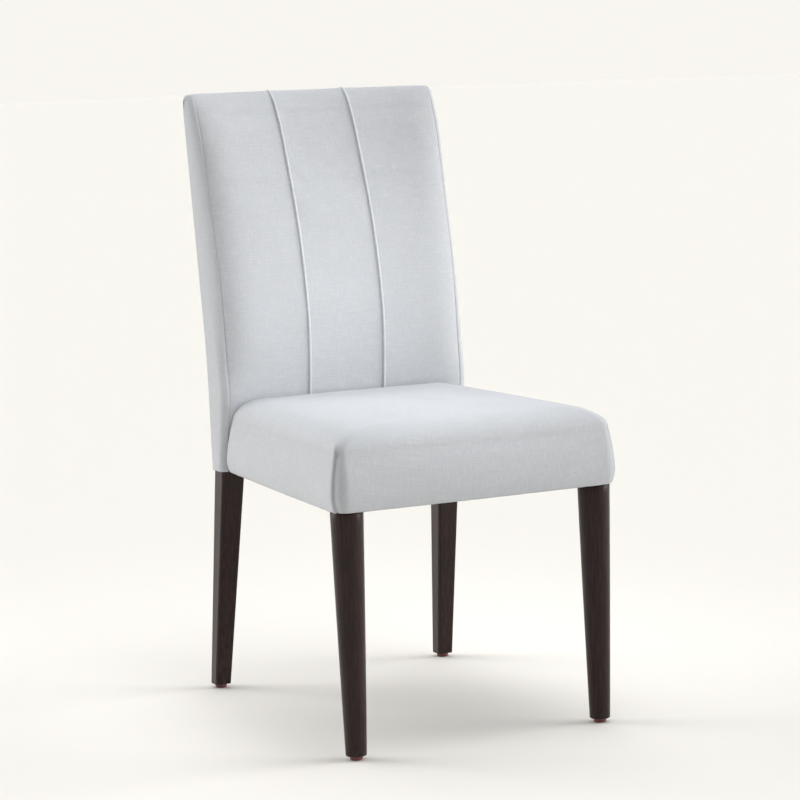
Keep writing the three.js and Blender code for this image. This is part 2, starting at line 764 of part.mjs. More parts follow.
// Everything outside a side seam of the back, on the +X side
function besideSeam(offset) {
  const ring = (z) => {
    const inner = backHalf(z) - backEdgeRound + offset;
    const outer = backHalf(z) + overrun;
    const [front, rear] = [kneeFront - 2 * overrun - lumbarPadding, rearFace + overrun];
    return [point(inner, front, z), point(outer, front, z), point(outer, rear, z), point(inner, rear, z)];
  };
  return ringBody([ring(skirtHeight - overrun), ring(overallHeight + overrun)]);
}

// Everything behind a bowed surface, between two heights
function behind(surface, bottom, top) {
  const half = backTopWidth / 2 + overrun;
  const xs = spread(-half, half, 4 * roundSteps);
  const zs = [...spread(bottom, top, 4 * roundSteps)];
  const front = zs.map((z) => xs.map((x) => point(x, surface(x, z), z)));
  const rear = zs.map((z) => xs.map((x) => point(x, rearFace + overrun, z)));
  return sheetBody(front, rear);
}

const frameMiddle = (x, z) => (frameFront(x, z) + frameRear(x, z)) / 2;
const everywhere = overallDepth;

function backCovers() {
  const shell = cut(backBody(0, 0, true), backBody(fabric, overrun, false));
  const edge = besideSeam(-seamGap / 2);
  const middle = cut(shell, edge, mirrored(edge));
  const seam = overallHeight - rearSeamDrop;
  const low = skirtHeight - overrun;
  const hem = block(-everywhere, everywhere, -everywhere, everywhere, low, seatHem);
  const beside = (y) => new THREE.Vector2(railOuter(y) + 2 * gap, y);
  const besideRail = [kneeFront - overrun, kneeFront].map(beside);
  const beyond = besideRail.map(({ y }) => new THREE.Vector2(backFootWidth, y)).reverse();
  const foot = prism([...besideRail, ...beyond], low, seatHem);
  return {
    inside: cut(middle, behind(frameMiddle, low, seam + seamGap / 2), hem),
    outside: common(middle, behind(frameMiddle, low, seam - seamGap / 2)),
    gusset: common(shell, join(besideSeam(seamGap / 2), foot)),
  };
}

function backFoam() {
  const clear = 2 * webbing + 3 * gap;
  const body = backBody(fabric + gap, 0, false);
  const frame = behind((x, z) => strapBed(x, z) - clear, skirtHeight - overrun, postTop + gap);
  const low = block(-everywhere, everywhere, -everywhere, everywhere, skirtHeight - overrun, seatHem);
  return cut(body, frame, low);
}

function backWadding() {
  const weltShare = weltSpacing / 2 / (backHalf(skirtHeight) - backEdgeRound);
  const half = [0, backColumnShares[0], weltShare, ...backColumnShares.slice(1)];
  const shares = [...half.slice(1).reverse().map((share) => -share), ...half];
  const levels = backLevelShares.slice(1).map((share) => lerp(skirtHeight, backArcStart, share));
  const zs = [railBottom, ...levels];
  const place = (share, z, offset) => {
    const y = postRear(z) + rearBow(z) * (1 - share ** 2) + offset;
    return point(share * (backHalf(z) - backEdgeRound), y, z);
  };
  const grid = (offset) => zs.map((z) => shares.map((share) => place(share, z, offset)));
  return sheetBody(grid(coverOnWood - fabric - gap - seamGap), grid(gap + seamGap));
}

// The outer surface of the seat, in rings from the hem to the crown
const seatRearSlope = (frontLine(skirtHeight) - frontLine(seatEdgeHeight)) / (seatEdgeHeight - skirtHeight);
const seatRearY = (z) => frontLine(skirtHeight) - seatBackGap - seatRearSlope * (z - skirtHeight);

function seatRing(z, wall, top, rearTop) {
  const draw = wall + top;
  const rear = seatRearY(Math.min(z, seatEdgeHeight)) - rearTop;
  const length = seatRearY(skirtHeight) - frontFace;
  const half = (y) => lerp(seatFrontWidth, seatRearWidth, (y - frontFace) / length) / 2 - draw;
  const radius = Math.max(seatFrontRound - wall, seatRearRound) + top / 2;
  const front = frontFace + draw;
  const corner = front + seatBelly + radius;
  const wide = half(corner);
  const bellyAt = (share) => seatBelly * Math.sin(Math.PI * share);
  const points = spread(0, 1, 3).slice(0, -1).map((s) => [s * (wide - radius), front + seatBelly * s ** 2]);
  spread(-Math.PI / 2, 0, roundSteps).forEach((a, i) => {
    const darted = i === roundSteps / 2 && z < skirtHeight + dartHeight;
    const reach = radius - (darted ? dartDepth : 0);
    points.push([wide - radius + reach * Math.cos(a), corner + reach * Math.sin(a)]);
  });
  const end = rear - seatRearRound;
  for (const s of spread(0, 1, roundSteps).slice(1, -1)) {
    const y = lerp(corner, end, s);
    points.push([half(y) + bellyAt(s) / 2, y]);
  }
  const narrow = half(end);
  for (const a of spread(0, Math.PI / 2, 2)) {
    points.push([narrow - seatRearRound * (1 - Math.cos(a)), end + seatRearRound * Math.sin(a)]);
  }
  for (const s of spread(1, 0, 2).slice(1)) points.push([s * (narrow - seatRearRound), rear]);
  const other = points.slice(1, -1).map(([x, y]) => [-x, y]).reverse();
  return [...points, ...other].map(([x, y]) => point(x, y, z));
}

function seatBody(inset, bottomInset) {
  const roundStart = seatEdgeHeight - seatTopRoundHeight;
  const middle = skirtHeight + seatTuckHeight;
  const wallAt = (z) => {
    const tuck = seatTuck * Math.max(0, 1 - (z - skirtHeight) / seatTuckHeight) ** 2;
    const draw = seatDraw * Math.max(0, (z - middle) / (roundStart - middle)) ** seatDrawPower;
    return inset + tuck + draw;
  };
  const rings = seatWallShares.map((share, i) => {
    const z = lerp(skirtHeight, roundStart, share);
    return seatRing(Math.max(z, skirtHeight + bottomInset + gap * i), wallAt(z), 0, inset);
  });
  for (const a of spread(0, Math.PI / 2, roundSteps).slice(1)) {
    const rise = (seatTopRoundHeight - inset) * Math.sin(a);
    const turn = 1 - Math.cos(a);
    const top = (seatTopRoundWidth - inset) * turn;
    rings.push(seatRing(roundStart + rise, inset + seatDraw, top, inset + seatRearTopRound * turn));
  }
  const edge = rings[rings.length - 1];
  const crown = point(0, (frontFace + seatRearY(seatEdgeHeight)) / 2, seatEdgeHeight + seatCrown - inset);
  seatCrownInsetShares.forEach((share, i) => {
    rings.push(edge.map((p) => {
      const q = p.clone().lerp(crown, share);
      return q.setZ(lerp(p.z, crown.z, seatCrownShares[i]));
    }));
  });
  return ringBody(rings);
}

// The space of the seat frame, open to the rear
function frameSpace(clearance, bottom, top) {
  const out = railReveal + clearance;
  const half = [
    [railOuterFront + out, frontRailFace - out],
    [railOuterFront + out, sideRailFront],
    [railOuterRear + out, sideRailRear],
    [railOuterRear + out, sideRailRear + overrun],
  ];
  const left = half.map(([x, y]) => [-x, y]).reverse();
  const outline = [...half, ...left].map(([x, y]) => new THREE.Vector2(x, y));
  return prism(outline, bottom, top);
}

function seatCover() {
  const shell = cut(seatBody(0, 0), seatBody(fabric, fabric));
  const opening = prism(frameOutline(hemWidth), skirtHeight - overrun, skirtHeight + 2 * fabric);
  const half = railOuter(sideRailRear - overrun) + gap;
  const low = skirtHeight - overrun;
  const rearCut = block(-half, half, sideRailRear - overrun, sideRailRear + overrun, low, seatHem);
  const hole = head(gap, skirtHeight - overrun, railTop);
  return cut(shell, opening, rearCut, hole, mirrored(hole));
}

function seatFoam() {
  const body = seatBody(fabric + gap, fabric + gap);
  return cut(body, frameSpace(gap, skirtHeight - overrun, foamBottom));
}

// A glide on the floor, with the pin that holds it in its leg
function glide() {
  const radius = glideDiameter / 2;
  const top = glideHeight - gap;
  const profile = [
    new THREE.Vector2(0, 0),
    new THREE.Vector2(radius - glideRound, 0),
    new THREE.Vector2(radius - glideRound * (1 - Math.SQRT1_2), glideRound * (1 - Math.SQRT1_2)),
    new THREE.Vector2(radius, glideRound),
    new THREE.Vector2(radius, top),
    new THREE.Vector2(pinDiameter / 2, top),
    new THREE.Vector2(pinDiameter / 2, glideHeight + pinLength),
    new THREE.Vector2(0, glideHeight + pinLength),
  ];
  return new THREE.LatheGeometry(profile, 2 * smallSides).rotateX(Math.PI / 2);
}

const glideFront = point(legX, legY, 0);
const glideRear = point(
  postOuter(glideHeight) - postFootWidth / 2, postRear(glideHeight) - postFootDepth / 2, 0,
);

function pinHole(place) {
  const from = place.clone().setZ(glideHeight - overrun);
  return bar(from, place.clone().setZ(glideHeight + pinLength + gap), pinDiameter + 2 * gap);
}

// Cuts for the fasteners, on both sides
const bothSides = (geometry) => group([geometry, mirrored(geometry)]);
const screwPlaces = [...screwLines(frontPlan), ...screwLines(rearPlan)];
const screwHoles = bothSides(group(screwPlaces.map((line) => screw(line, gap))));
const boltHole = bolt(gap);

// The chair
const chair = new THREE.Group();

function add(parent, name, geometry, material, place = point(0, 0, 0)) {
  const mesh = new THREE.Mesh(welded(geometry), material);
  mesh.name = name;
  mesh.position.copy(place);
  parent.add(mesh);
}

function addPair(parent, name, geometry, material) {
  add(parent, `${name}_left`, geometry, material);
  add(parent, `${name}_right`, mirrored(geometry), material);
}

function addEach(parent, name, geometries, material) {
  geometries.forEach((geometry, i) => add(parent, `${name}_${i + 1}`, geometry, material));
}

const frame = new THREE.Group();
const mortises = sideTenons(gap);
const tenons = sideTenons(0);
const postCuts = [mortises.rear, rearTenon(gap), lowerTenon(gap), crestTenon(gap), pinHole(glideRear)];
const legCuts = [mortises.front, frontTenon(gap), boltHole, pinHole(glideFront)];
addPair(frame, "rear_post", cut(rearPost(), ...postCuts), stainedWood);
addPair(frame, "front_leg", cut(frontLeg(), ...legCuts), stainedWood);
addPair(frame, "side_rail", cut(join(join(sideRail(), tenons.front), tenons.rear), screwHoles), rawWood);
add(frame, "front_rail", cut(withTenons(frontRail(), frontTenon(0)), screwHoles), rawWood);
add(frame, "rear_rail", cut(withTenons(rearRail(), rearTenon(0)), screwHoles), rawWood);
add(frame, "back_lower_rail", withTenons(lowerRail(), lowerTenon(0)), rawWood);
add(frame, "back_crest_rail", withTenons(crestRail(), crestTenon(0)), rawWood);
addPair(frame, "front_corner_block", cut(cornerBlock(frontPlan), screwHoles, boltHole), rawWood);
addPair(frame, "rear_corner_block", cut(cornerBlock(rearPlan), screwHoles), rawWood);
["front_rail", "front_side", "rear_rail", "rear_side"].forEach((place, i) => {
  addPair(frame, `${place}_block_screw`, screw(screwPlaces[i], 0), steel);
});
addPair(frame, "leg_bolt", bolt(0), steel);
addPair(frame, "leg_bolt_washer", washer(), steel);
addPair(frame, "leg_bolt_nut", nut(), steel);
chair.add(frame);

const seat = new THREE.Group();
addEach(seat, "seat_strap_lengthwise", seatLengthStraps(), strapStuff);
addEach(seat, "seat_strap_crosswise", seatCrossStraps(), strapStuff);
add(seat, "seat_deck_cloth", deck(), blackCloth);
add(seat, "seat_foam", seatFoam(), foamStuff);
add(seat, "seat_cover", seatCover(), linen);
add(seat, "dust_cover", dustCover(), blackCloth);
chair.add(seat);

const back = new THREE.Group();
const covers = backCovers();
addEach(back, "back_strap_upright", backLengthStraps(), strapStuff);
addEach(back, "back_strap_crosswise", backCrossStraps(), strapStuff);
add(back, "back_foam", backFoam(), foamStuff);
add(back, "back_wadding", backWadding(), wadding);
add(back, "inside_back_cover", covers.inside, linen);
add(back, "outside_back_cover", covers.outside, linen);
addPair(back, "back_gusset", covers.gusset, linen);
chair.add(back);

const feet = new THREE.Group();
const mirrorPlace = (place) => place.clone().setX(-place.x);
add(feet, "glide_front_left", glide(), glidePlastic, glideFront);
add(feet, "glide_front_right", glide(), glidePlastic, mirrorPlace(glideFront));
add(feet, "glide_rear_left", glide(), glidePlastic, glideRear);
add(feet, "glide_rear_right", glide(), glidePlastic, mirrorPlace(glideRear));
chair.add(feet);

export default chair;
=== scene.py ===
import json
import math

import bpy
import numpy as np
from mathutils import Matrix, Vector


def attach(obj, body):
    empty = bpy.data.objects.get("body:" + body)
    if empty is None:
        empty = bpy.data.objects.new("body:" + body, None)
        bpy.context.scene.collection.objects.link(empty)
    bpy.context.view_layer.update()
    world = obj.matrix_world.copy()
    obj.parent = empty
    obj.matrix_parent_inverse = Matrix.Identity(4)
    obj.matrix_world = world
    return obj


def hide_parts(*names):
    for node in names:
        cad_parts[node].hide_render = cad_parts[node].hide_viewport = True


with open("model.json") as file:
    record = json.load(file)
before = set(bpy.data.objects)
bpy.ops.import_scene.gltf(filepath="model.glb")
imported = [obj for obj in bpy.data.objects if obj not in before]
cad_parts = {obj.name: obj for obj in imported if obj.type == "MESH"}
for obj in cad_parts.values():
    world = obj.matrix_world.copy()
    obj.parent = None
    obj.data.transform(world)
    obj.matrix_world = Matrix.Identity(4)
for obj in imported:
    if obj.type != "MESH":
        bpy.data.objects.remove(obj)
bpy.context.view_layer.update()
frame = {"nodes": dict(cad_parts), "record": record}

MM = 0.001

# Sizes of the chair in millimetres, as in its solids
OVERALL_HEIGHT = 992
FRONT_FACE = -314
SKIRT = 376
HEM = 442.8
SEAT_FRONT_WIDTH = 481
SEAT_REAR_WIDTH = 427
SEAT_EDGE = 496
SEAT_CROWN = 7
SEAT_FRONT_ROUND = 24
SEAT_REAR_ROUND = 6
SEAT_TOP_ROUND_WIDTH = 48
SEAT_TOP_ROUND_HEIGHT = 34
SEAT_ROUND_START = SEAT_EDGE - SEAT_TOP_ROUND_HEIGHT
SEAT_REAR_TOP_ROUND = 9
SEAT_TUCK = 6
SEAT_TUCK_HEIGHT = 24
SEAT_DRAW = 9
SEAT_BELLY = 2.5
DART_TOP = SKIRT + 95
HEM_WIDTH = 18
SEAT_BACK_GAP = 1.2
BACK_FOOT_WIDTH = 439
BACK_TOP_WIDTH = 449
BACK_EDGE_ROUND = 12
BACK_EDGE_DEPTH = 36
BACK_REAR_ROUND = 8
BACK_REAR_EDGE_ROUND = 6
BACK_TOP_ROUND_HEIGHT = 38
BACK_FLAT = BACK_FOOT_WIDTH / 2 - BACK_EDGE_ROUND
LUMBAR_PADDING = 28
PAD_CROWN = 12
BACK_LEAN = 84
CREST_BOW = 24
WELT = 67
WELT_RISE = 2
REAR_SEAM = OVERALL_HEIGHT - 24
COVER_ON_WOOD = 3.6
FABRIC = 1.2
DUST_CLOTH = 0.5
DUST_INSET = 11
POST_TOP = 957
POST_BEND = 560
POST_BEND_BLEND = 60
POST_INNER = 177
KNEE_FRONT = 198.5
KNEE_REAR = 237
TOP_REAR = 283.5
FOOT_REAR = 291
RAIL_BOTTOM = 377.5
RAIL_TOP = 437.5
RAIL_FRONT = -302
RAIL_REAR = 198.2
RAIL_FRONT_HALF = 230
RAIL_REAR_HALF = 204.7
REAR_RAIL_BACK = 234
GLIDE = 7
LEG_X = 208
LEG_Y = -280
LEG_TOP = 25
LEG_FOOT = 16
LEG_BELLY = 0.4
LEG_SHAFT_TOP = 374.9
HEAD_HALF = 23
HEAD_ROUND = 15
HEAD_EDGE = 4

BACK_TOP = OVERALL_HEIGHT - WELT_RISE * math.sqrt(0.5)
BACK_HEIGHT = BACK_TOP - SKIRT
ARC_START = BACK_TOP - BACK_TOP_ROUND_HEIGHT
REAR_TURN = BACK_TOP - BACK_REAR_ROUND

# Forms of the covers that differ from the solids or that only the scene has: millimetres, powers and shares
INSIDE_LOW = RAIL_TOP + 1.1
SEAM_TURN = math.radians(12)
CORNER_TURN = 963
CORNER_FADE = 14
PAD_FULL = 4.2
PAD_SHOULDER = 12
PAD_FADE = 70
INSIDE_SETTLING, OUTSIDE_SETTLING, SEAT_SETTLING = 0.7, 0.8, 1.6
PAD_ROLL = 52
PAD_ROLL_POWER = 2.6
WELT_HALF = 3.1
WELT_FULLNESS = 1.45
WELT_ROUNDNESS = 1.8
WELT_LEAN = 1
WELT_SLIT_INNER, WELT_SLIT_OUTER = 0.7, 0.1
WELT_SLIT_OUT, WELT_SLIT_WIDTH = 0.2, 0.8
WELT_FLATTENS = OVERALL_HEIGHT - 22
WELT_STRAIGHT = 8
WELT_BLEND = 30
DART_TURN = 0.76
DART_OPENS = 7
DART_STEP = 3
DART_FOLD = 0.9
SEAT_FULLNESS = 0.75
DART_FROM = -200
GUSSET_PILLOW = 1.1
SEAM_ALLOWANCE = 0.25
WADDING = 1.0
DUST_LEVEL = SKIRT - 0.8
DUST_SAG = 3.6
UNSEWN = 30
PUCKER_START = 2.2

# The hem turned in under the seat: shares of its width with its drop, and the point that it turns towards
HEM_TURN = ((1.0, 0.0), (0.62, 0.5), (0.25, 0.75), (0.05, 0.5))
HEM_CENTRE = np.array([0, -60.0])

# Folds at the dart: how far out, height over its top, half height, distance from it, half width
EAR = (1.3, 3, 5.5, 0, 6.5)
HOLLOW = (-1.1, -9, 8, 4.5, 4)

# Shares along the back's height, from the skirt to its top, at even steps
FRONT_LEAN = [0.3, 0.168, 0.036, 0.09, 0.14, 0.22, 0.36, 0.52, 0.67, 0.85, 1.14]
FRONT_BOW = [0, 0.06, 0.2, 0.06, 0.01, 0.06, 0.1, 0.32, 0.74, 1.08, 1]
PAD_CROWN_SHARES = [0, 0, 0.02, 0.72, 1, 1, 1, 1, 0.9, 0.68, 0]
EDGE_DEPTH = [0, 0, 0, 0.1, 0.5, 0.9, 1, 1, 0.8, 0.5, 0.3]
REAR_BOW = [0, 0, 0, 0, 0.03, 0.08, 0.18, 0.34, 0.56, 0.8, 1]

# Steps of the grids: counts, or lengths in millimetres
ARC_STEPS = 20
TURN_STEPS = 6
SEAT_ROUND_STEPS = 14
COARSE_COLUMNS, FINE_COLUMNS = 49, 121
BESIDE_SEAM = np.array([0, 0.6, 1.2, 1.8, 2.3, 2.7, 3.1, 3.5, 4.0, 4.7, 5.6, 7.0])
LEAST_STEP = 0.3
GUSSET_STEP = 3.0
COARSE_SEAT = (20, 8, 34, 2, 20)
FINE_SEAT = (60, 28, 100, 6, 48)
SWELL_SMOOTHING = 26

# The cloth that is simulated
CLOTH = {
    "quality": 6, "mass": 0.3, "tension_stiffness": 40, "compression_stiffness": 40, "shear_stiffness": 20,
    "bending_stiffness": 8, "vertex_group_mass": "seams", "use_pressure": True, "uniform_pressure_force": 4.0,
    "shrink_min": 0.0,
}
CLOTH_FRAMES = 20

# What rounds a solid into stuffing
STUFFING = {
    "REMESH": {"mode": "VOXEL", "voxel_size": 5 * MM},
    "SMOOTH": {"iterations": 3},
    "DISPLACE": {"strength": -2.2 * MM, "mid_level": 0},
}

# Waves of a gathered seam: shares of their length and of their height
WAVES = ((1.0, 0.5), (1.71, 0.32), (0.53, 0.4), (2.63, 0.16))
SCATTER = (12.9898, 78.233, 43758.5453)

# The photograph's camera as fitted to the chair's edges: degrees, metres and pixels
CAMERA_TURN, CAMERA_TILT, CAMERA_ROLL = -24.86, 7.07, -2.13
CAMERA_TARGET = (-0.1146, -0.280, 0.5325)
CAMERA_DISTANCE = 3.886
FOCAL_LENGTH, PHOTO_WIDTH = 2624, 800
SENSOR_WIDTH = 36

# Light: the floor's and the sky's colours, and the lamps
FLOOR = (0.865, 0.845, 0.805)
FLOOR_RADIUS = 200000
HORIZON = (0.947, 0.922, 0.88)
SKY = (0.6, 0.605, 0.615)
SKY_STOPS = [(0.0, HORIZON), (0.052, HORIZON), (0.15, SKY), (1.0, SKY)]
DIM_SKY = (0.08, 0.084, 0.09)
BRIGHT_SKY = (0.98, 0.985, 0.99)
SKY_LEAN = (0.4, 0.33, 0)
SUNS = {
    "overhead_light": (0.79, (1.0, 0.99, 0.97), (-0.4, 1.3, 4.0), 60),
    "right_light": (2.4, (1.0, 0.99, 0.975), (4.8, -1.8, 1.2), 40),
    "left_rear_light": (2.0, (1.0, 0.99, 0.965), (-3.6, 3.2, 1.2), 34),
}
AREA_LAMPS = {
    "seat_light": (1.1, (0.15, -0.33, 1.75), (0, 0.03, 0.5), 0.8, 62),
    "low_back_light": (0.26, (0, -0.8, 0.95), (-0.04, 0.26, 0.53), 0.4, 38),
}
LINEN_LIGHT = 0.69


# ---- Curves ----

def lerp(a, b, t):
    return a + (b - a) * t


def ramp(value, start, length):
    """0 up to the start, 1 from the length beyond it."""
    return np.clip((value - start) / length, 0, 1)


def bell(distance, width):
    """1 at no distance, fading to nothing on both sides."""
    return np.exp(-(distance / width) ** 2)


def settled(distance, length):
    """0 at no distance, nearing 1 further than the length away."""
    return 1 - np.exp(-distance / length)


def cubic(p0, p1, p2, p3, t):
    """The smooth curve from p1 to p2 between its neighbours."""
    v0, v1 = (p2 - p0) / 2, (p3 - p1) / 2
    return (2 * p1 - 2 * p2 + v0 + v1) * t ** 3 + (3 * p2 - 3 * p1 - 2 * v0 - v1) * t * t + v0 * t + p1


def height_share(z):
    return (z - SKIRT) / BACK_HEIGHT


def at_height(shares, z):
    """The smooth curve through shares at even steps of the back's height."""
    shares = np.asarray(shares, float)
    last = len(shares) - 1
    place = np.clip(height_share(z), 0, 1) * last
    i = np.minimum(np.floor(place).astype(int), last - 1)
    return cubic(*(shares[np.clip(i + k, 0, last)] for k in (-1, 0, 1, 2)), place - i)


# ---- The chair's outlines ----

def post_rear(z):
    blend = POST_BEND_BLEND
    above = z - POST_BEND
    soft = (np.clip(above, -blend, blend) + blend) ** 2 / (4 * blend)
    bend = np.where(above >= blend, above, soft) / (POST_TOP - POST_BEND)
    leg = (RAIL_BOTTOM - z) / (RAIL_BOTTOM - GLIDE)
    return np.where(z < RAIL_BOTTOM, lerp(KNEE_REAR, FOOT_REAR, leg), lerp(KNEE_REAR, TOP_REAR, bend))


def front_line(z):
    return KNEE_FRONT - LUMBAR_PADDING + BACK_LEAN * at_height(FRONT_LEAN, z)


def back_half(z):
    return lerp(BACK_FOOT_WIDTH, BACK_TOP_WIDTH, height_share(z)) / 2


def back_front(z, share, side):
    """The front of the back at a share of its width; side is 1 where it has turned the edge."""
    bow = CREST_BOW * at_height(FRONT_BOW, z) * (1 - share ** 2)
    from_seam = (1 - abs(share)) * (back_half(z) - BACK_EDGE_ROUND)
    roll = (1 - np.minimum(from_seam / PAD_ROLL, 1)) ** PAD_ROLL_POWER
    crown = PAD_CROWN * at_height(PAD_CROWN_SHARES, z) * (1 - roll)
    edge_depth = lerp(BACK_EDGE_ROUND, BACK_EDGE_DEPTH, at_height(EDGE_DEPTH, z))
    return front_line(z) + bow - crown + edge_depth * side


def back_rear(z, share, inset):
    bow = CREST_BOW * at_height(REAR_BOW, z) * (1 - share ** 2)
    return post_rear(z) + COVER_ON_WOOD + bow - inset


def over_the_top(share, inset, side):
    """The line from the front of the back over its top edge to the rear turn: y and z."""
    start, before = np.array([ARC_START, ARC_START - BACK_TOP_ROUND_HEIGHT], float)
    front, lower = back_front(start, share, side), back_front(before, share, side)
    slope = (front - lower) / BACK_TOP_ROUND_HEIGHT
    a = np.array([front, ARC_START])
    b = np.array([front + slope * BACK_TOP_ROUND_HEIGHT, BACK_TOP - inset])
    c = np.array([back_rear(REAR_TURN, share, inset) + inset - BACK_REAR_ROUND, BACK_TOP - inset])
    t = np.linspace(0, 1, ARC_STEPS + 1)[1:, None]
    arc = (1 - t) ** 2 * a + 2 * t * (1 - t) * b + t * t * c
    turn = np.linspace(0, math.pi / 2, TURN_STEPS + 1)[1:, None]
    radius = BACK_REAR_ROUND - inset
    round_off = np.hstack([c[0] + radius * np.sin(turn), REAR_TURN + radius * np.cos(turn)])
    return np.vstack([arc, round_off])


def back_line(share, round_, side, front_from, rear_to, step):
    """One line of the back, up the front from one height, over the top and down the rear to another."""
    def heights(start, end):
        return np.linspace(start, end, max(2, round(abs(end - start) / step)) + 1)

    inset = round_ * side
    up, down = heights(front_from, ARC_START), heights(REAR_TURN, rear_to)[1:]
    return np.vstack([
        np.column_stack([back_front(up, share, side), up]),
        over_the_top(share, inset, side),
        np.column_stack([back_rear(down, share, inset), down]),
    ])


def seat_rear(z):
    low, high = front_line(float(SKIRT)), front_line(float(SEAT_EDGE))
    return low - SEAT_BACK_GAP - (low - high) / (SEAT_EDGE - SKIRT) * (z - SKIRT)


def seat_ring(z, wall, top, rear_top, counts):
    """A level line round the seat, from the middle of its front by the sitter's left to the rear and back."""
    front_count, corner_count, side_count, rear_corner, rear_count = counts
    draw = wall + top
    rear = seat_rear(min(z, SEAT_EDGE)) - rear_top
    length = seat_rear(SKIRT) - FRONT_FACE

    def half(y):
        return lerp(SEAT_FRONT_WIDTH, SEAT_REAR_WIDTH, (y - FRONT_FACE) / length) / 2 - draw

    radius = max(SEAT_FRONT_ROUND - wall, SEAT_REAR_ROUND) + top / 2
    front = FRONT_FACE + draw
    corner, end = front + SEAT_BELLY + radius, rear - SEAT_REAR_ROUND
    wide, narrow = half(corner), half(end)
    s = np.linspace(0, 1, front_count + 1)[:-1]
    points = [(s * (wide - radius), front + SEAT_BELLY * s ** 2)]
    a = np.linspace(-math.pi / 2, 0, corner_count + 1)
    points.append((wide - radius + radius * np.cos(a), corner + radius * np.sin(a)))
    s = np.linspace(0, 1, side_count + 1)[1:-1]
    y = lerp(corner, end, s)
    points.append((half(y) + SEAT_BELLY / 2 * np.sin(math.pi * s), y))
    a = np.linspace(0, math.pi / 2, rear_corner + 1)
    points.append((narrow - SEAT_REAR_ROUND * (1 - np.cos(a)), end + SEAT_REAR_ROUND * np.sin(a)))
    s = np.linspace(1, 0, rear_count + 1)[1:]
    points.append((s * (narrow - SEAT_REAR_ROUND), np.full_like(s, rear)))
    half_ring = np.hstack(points).T
    return np.vstack([half_ring, half_ring[1:-1][::-1] * [-1, 1]])


# ---- Meshes from grids of points ----

def placed(name, data):
    """A new object in the scene."""
    made = bpy.data.objects.new(name, data)
    bpy.context.scene.collection.objects.link(made)
    return made


def set_up(target, settings):
    """Gives something all its settings, and returns it."""
    for key, value in settings.items():
        setattr(target, key, value)
    return target


def normals_of(grid, wrap=False):
    """Unit normals of a grid [row][column], facing out where rows go up and columns go round left."""
    across = np.roll(grid, -1, 1) - np.roll(grid, 1, 1) if wrap else np.gradient(grid, axis=1)
    normal = np.cross(across, np.gradient(grid, axis=0))
    length = np.linalg.norm(normal, axis=2, keepdims=True)
    return normal / np.maximum(length, 1e-12)


def raised(grid, lift, wrap=False):
    return grid + normals_of(grid, wrap) * lift[:, :, None]


def mesh_of(name, points, faces, weave=None, marks=None, smooth=True):
    """A mesh object from points in millimetres; weave holds each face corner's place on the cloth."""
    mesh = bpy.data.meshes.new(name)
    mesh.from_pydata((np.asarray(points) * MM).tolist(), [], faces)
    mesh.polygons.foreach_set("use_smooth", [smooth] * len(mesh.polygons))
    if weave is not None:
        layer = mesh.uv_layers.new(name="weave")
        layer.data.foreach_set("uv", (np.asarray(weave, np.float32) * MM).ravel())
    for key, values in (marks or {}).items():
        field = mesh.attributes.new(key, "FLOAT", "POINT")
        field.data.foreach_set("value", np.asarray(values, np.float32).ravel())
    mesh.update()
    return placed(name, mesh)


def cell(r, c, columns):
    """The corners of one cell of a grid, each a row and a column."""
    beside = (c + 1) % columns
    return [(r, c), (r, beside), (r + 1, beside), (r + 1, c)]


def cloth_shell(name, grid, thickness, cloth, marks, wrap=False, dropped=None, closed_top=False):
    """A closed shell of one cloth thickness under a grid of outer points; dropped cells are cut away."""
    rows, columns = grid.shape[:2]
    inner = grid - normals_of(grid, wrap) * thickness
    points = [grid.reshape(-1, 3), inner.reshape(-1, 3)]
    offset = rows * columns
    last = columns if wrap else columns - 1
    gone = np.zeros((rows - 1, last), bool) if dropped is None else dropped[:rows - 1, :last]
    faces, corners = [], []

    def add(spots, places):
        faces.append(spots)
        corners.extend(cloth[place] for place in places)

    def present(r, c):
        c = c % columns if wrap else c
        return 0 <= r < rows - 1 and 0 <= c < last and not gone[r, c]

    for r in range(rows - 1):
        for c in range(last):
            if gone[r, c]:
                continue
            ring = cell(r, c, columns)
            spots = [a * columns + b for a, b in ring]
            add(spots, ring)
            add([spot + offset for spot in reversed(spots)], ring[::-1])
            for k, other in enumerate(((r - 1, c), (r, c + 1), (r + 1, c), (r, c - 1))):
                if present(*other) or (closed_top and k == 2 and r == rows - 2):
                    continue
                n = (k + 1) % 4
                a, b = spots[k], spots[n]
                add([b, a, a + offset, b + offset], (ring[n], ring[k], ring[k], ring[n]))
    if closed_top:
        top = grid[-1].mean(axis=0)
        points.append(np.array([top, top - [0, 0, thickness]]))
        middle = cloth[-1].mean(axis=0)
        for c in range(columns):
            n = (c + 1) % columns
            a, b = (rows - 1) * columns + c, (rows - 1) * columns + n
            faces += [[a, b, 2 * offset], [b + offset, a + offset, 2 * offset + 1]]
            corners += [cloth[-1, c], cloth[-1, n], middle, cloth[-1, n], cloth[-1, c], middle]
    ends = 2 if closed_top else 0
    doubled = {key: np.concatenate([mark.ravel(), mark.ravel(), np.full(ends, mark[-1].mean())])
               for key, mark in marks.items()}
    return mesh_of(name, np.vstack(points), faces, corners, doubled)


def ring_piece(name, rings):
    """A closed body from rings of the same count, bottom to top, flat at both ends."""
    count = len(rings[0])
    faces = [[a * count + b for a, b in cell(r, c, count)]
             for r in range(len(rings) - 1) for c in range(count)]
    faces.append(list(range(count))[::-1])
    faces.append(list(range((len(rings) - 1) * count, len(rings) * count)))
    return mesh_of(name, np.vstack(rings), faces)


def run_along(grid, axis):
    """Arc length along one axis of a grid of points."""
    steps = np.linalg.norm(np.diff(grid, axis=axis), axis=2)
    zero = np.zeros_like(np.take(steps, [0], axis=axis))
    return np.concatenate([zero, np.cumsum(steps, axis=axis)], axis=axis)


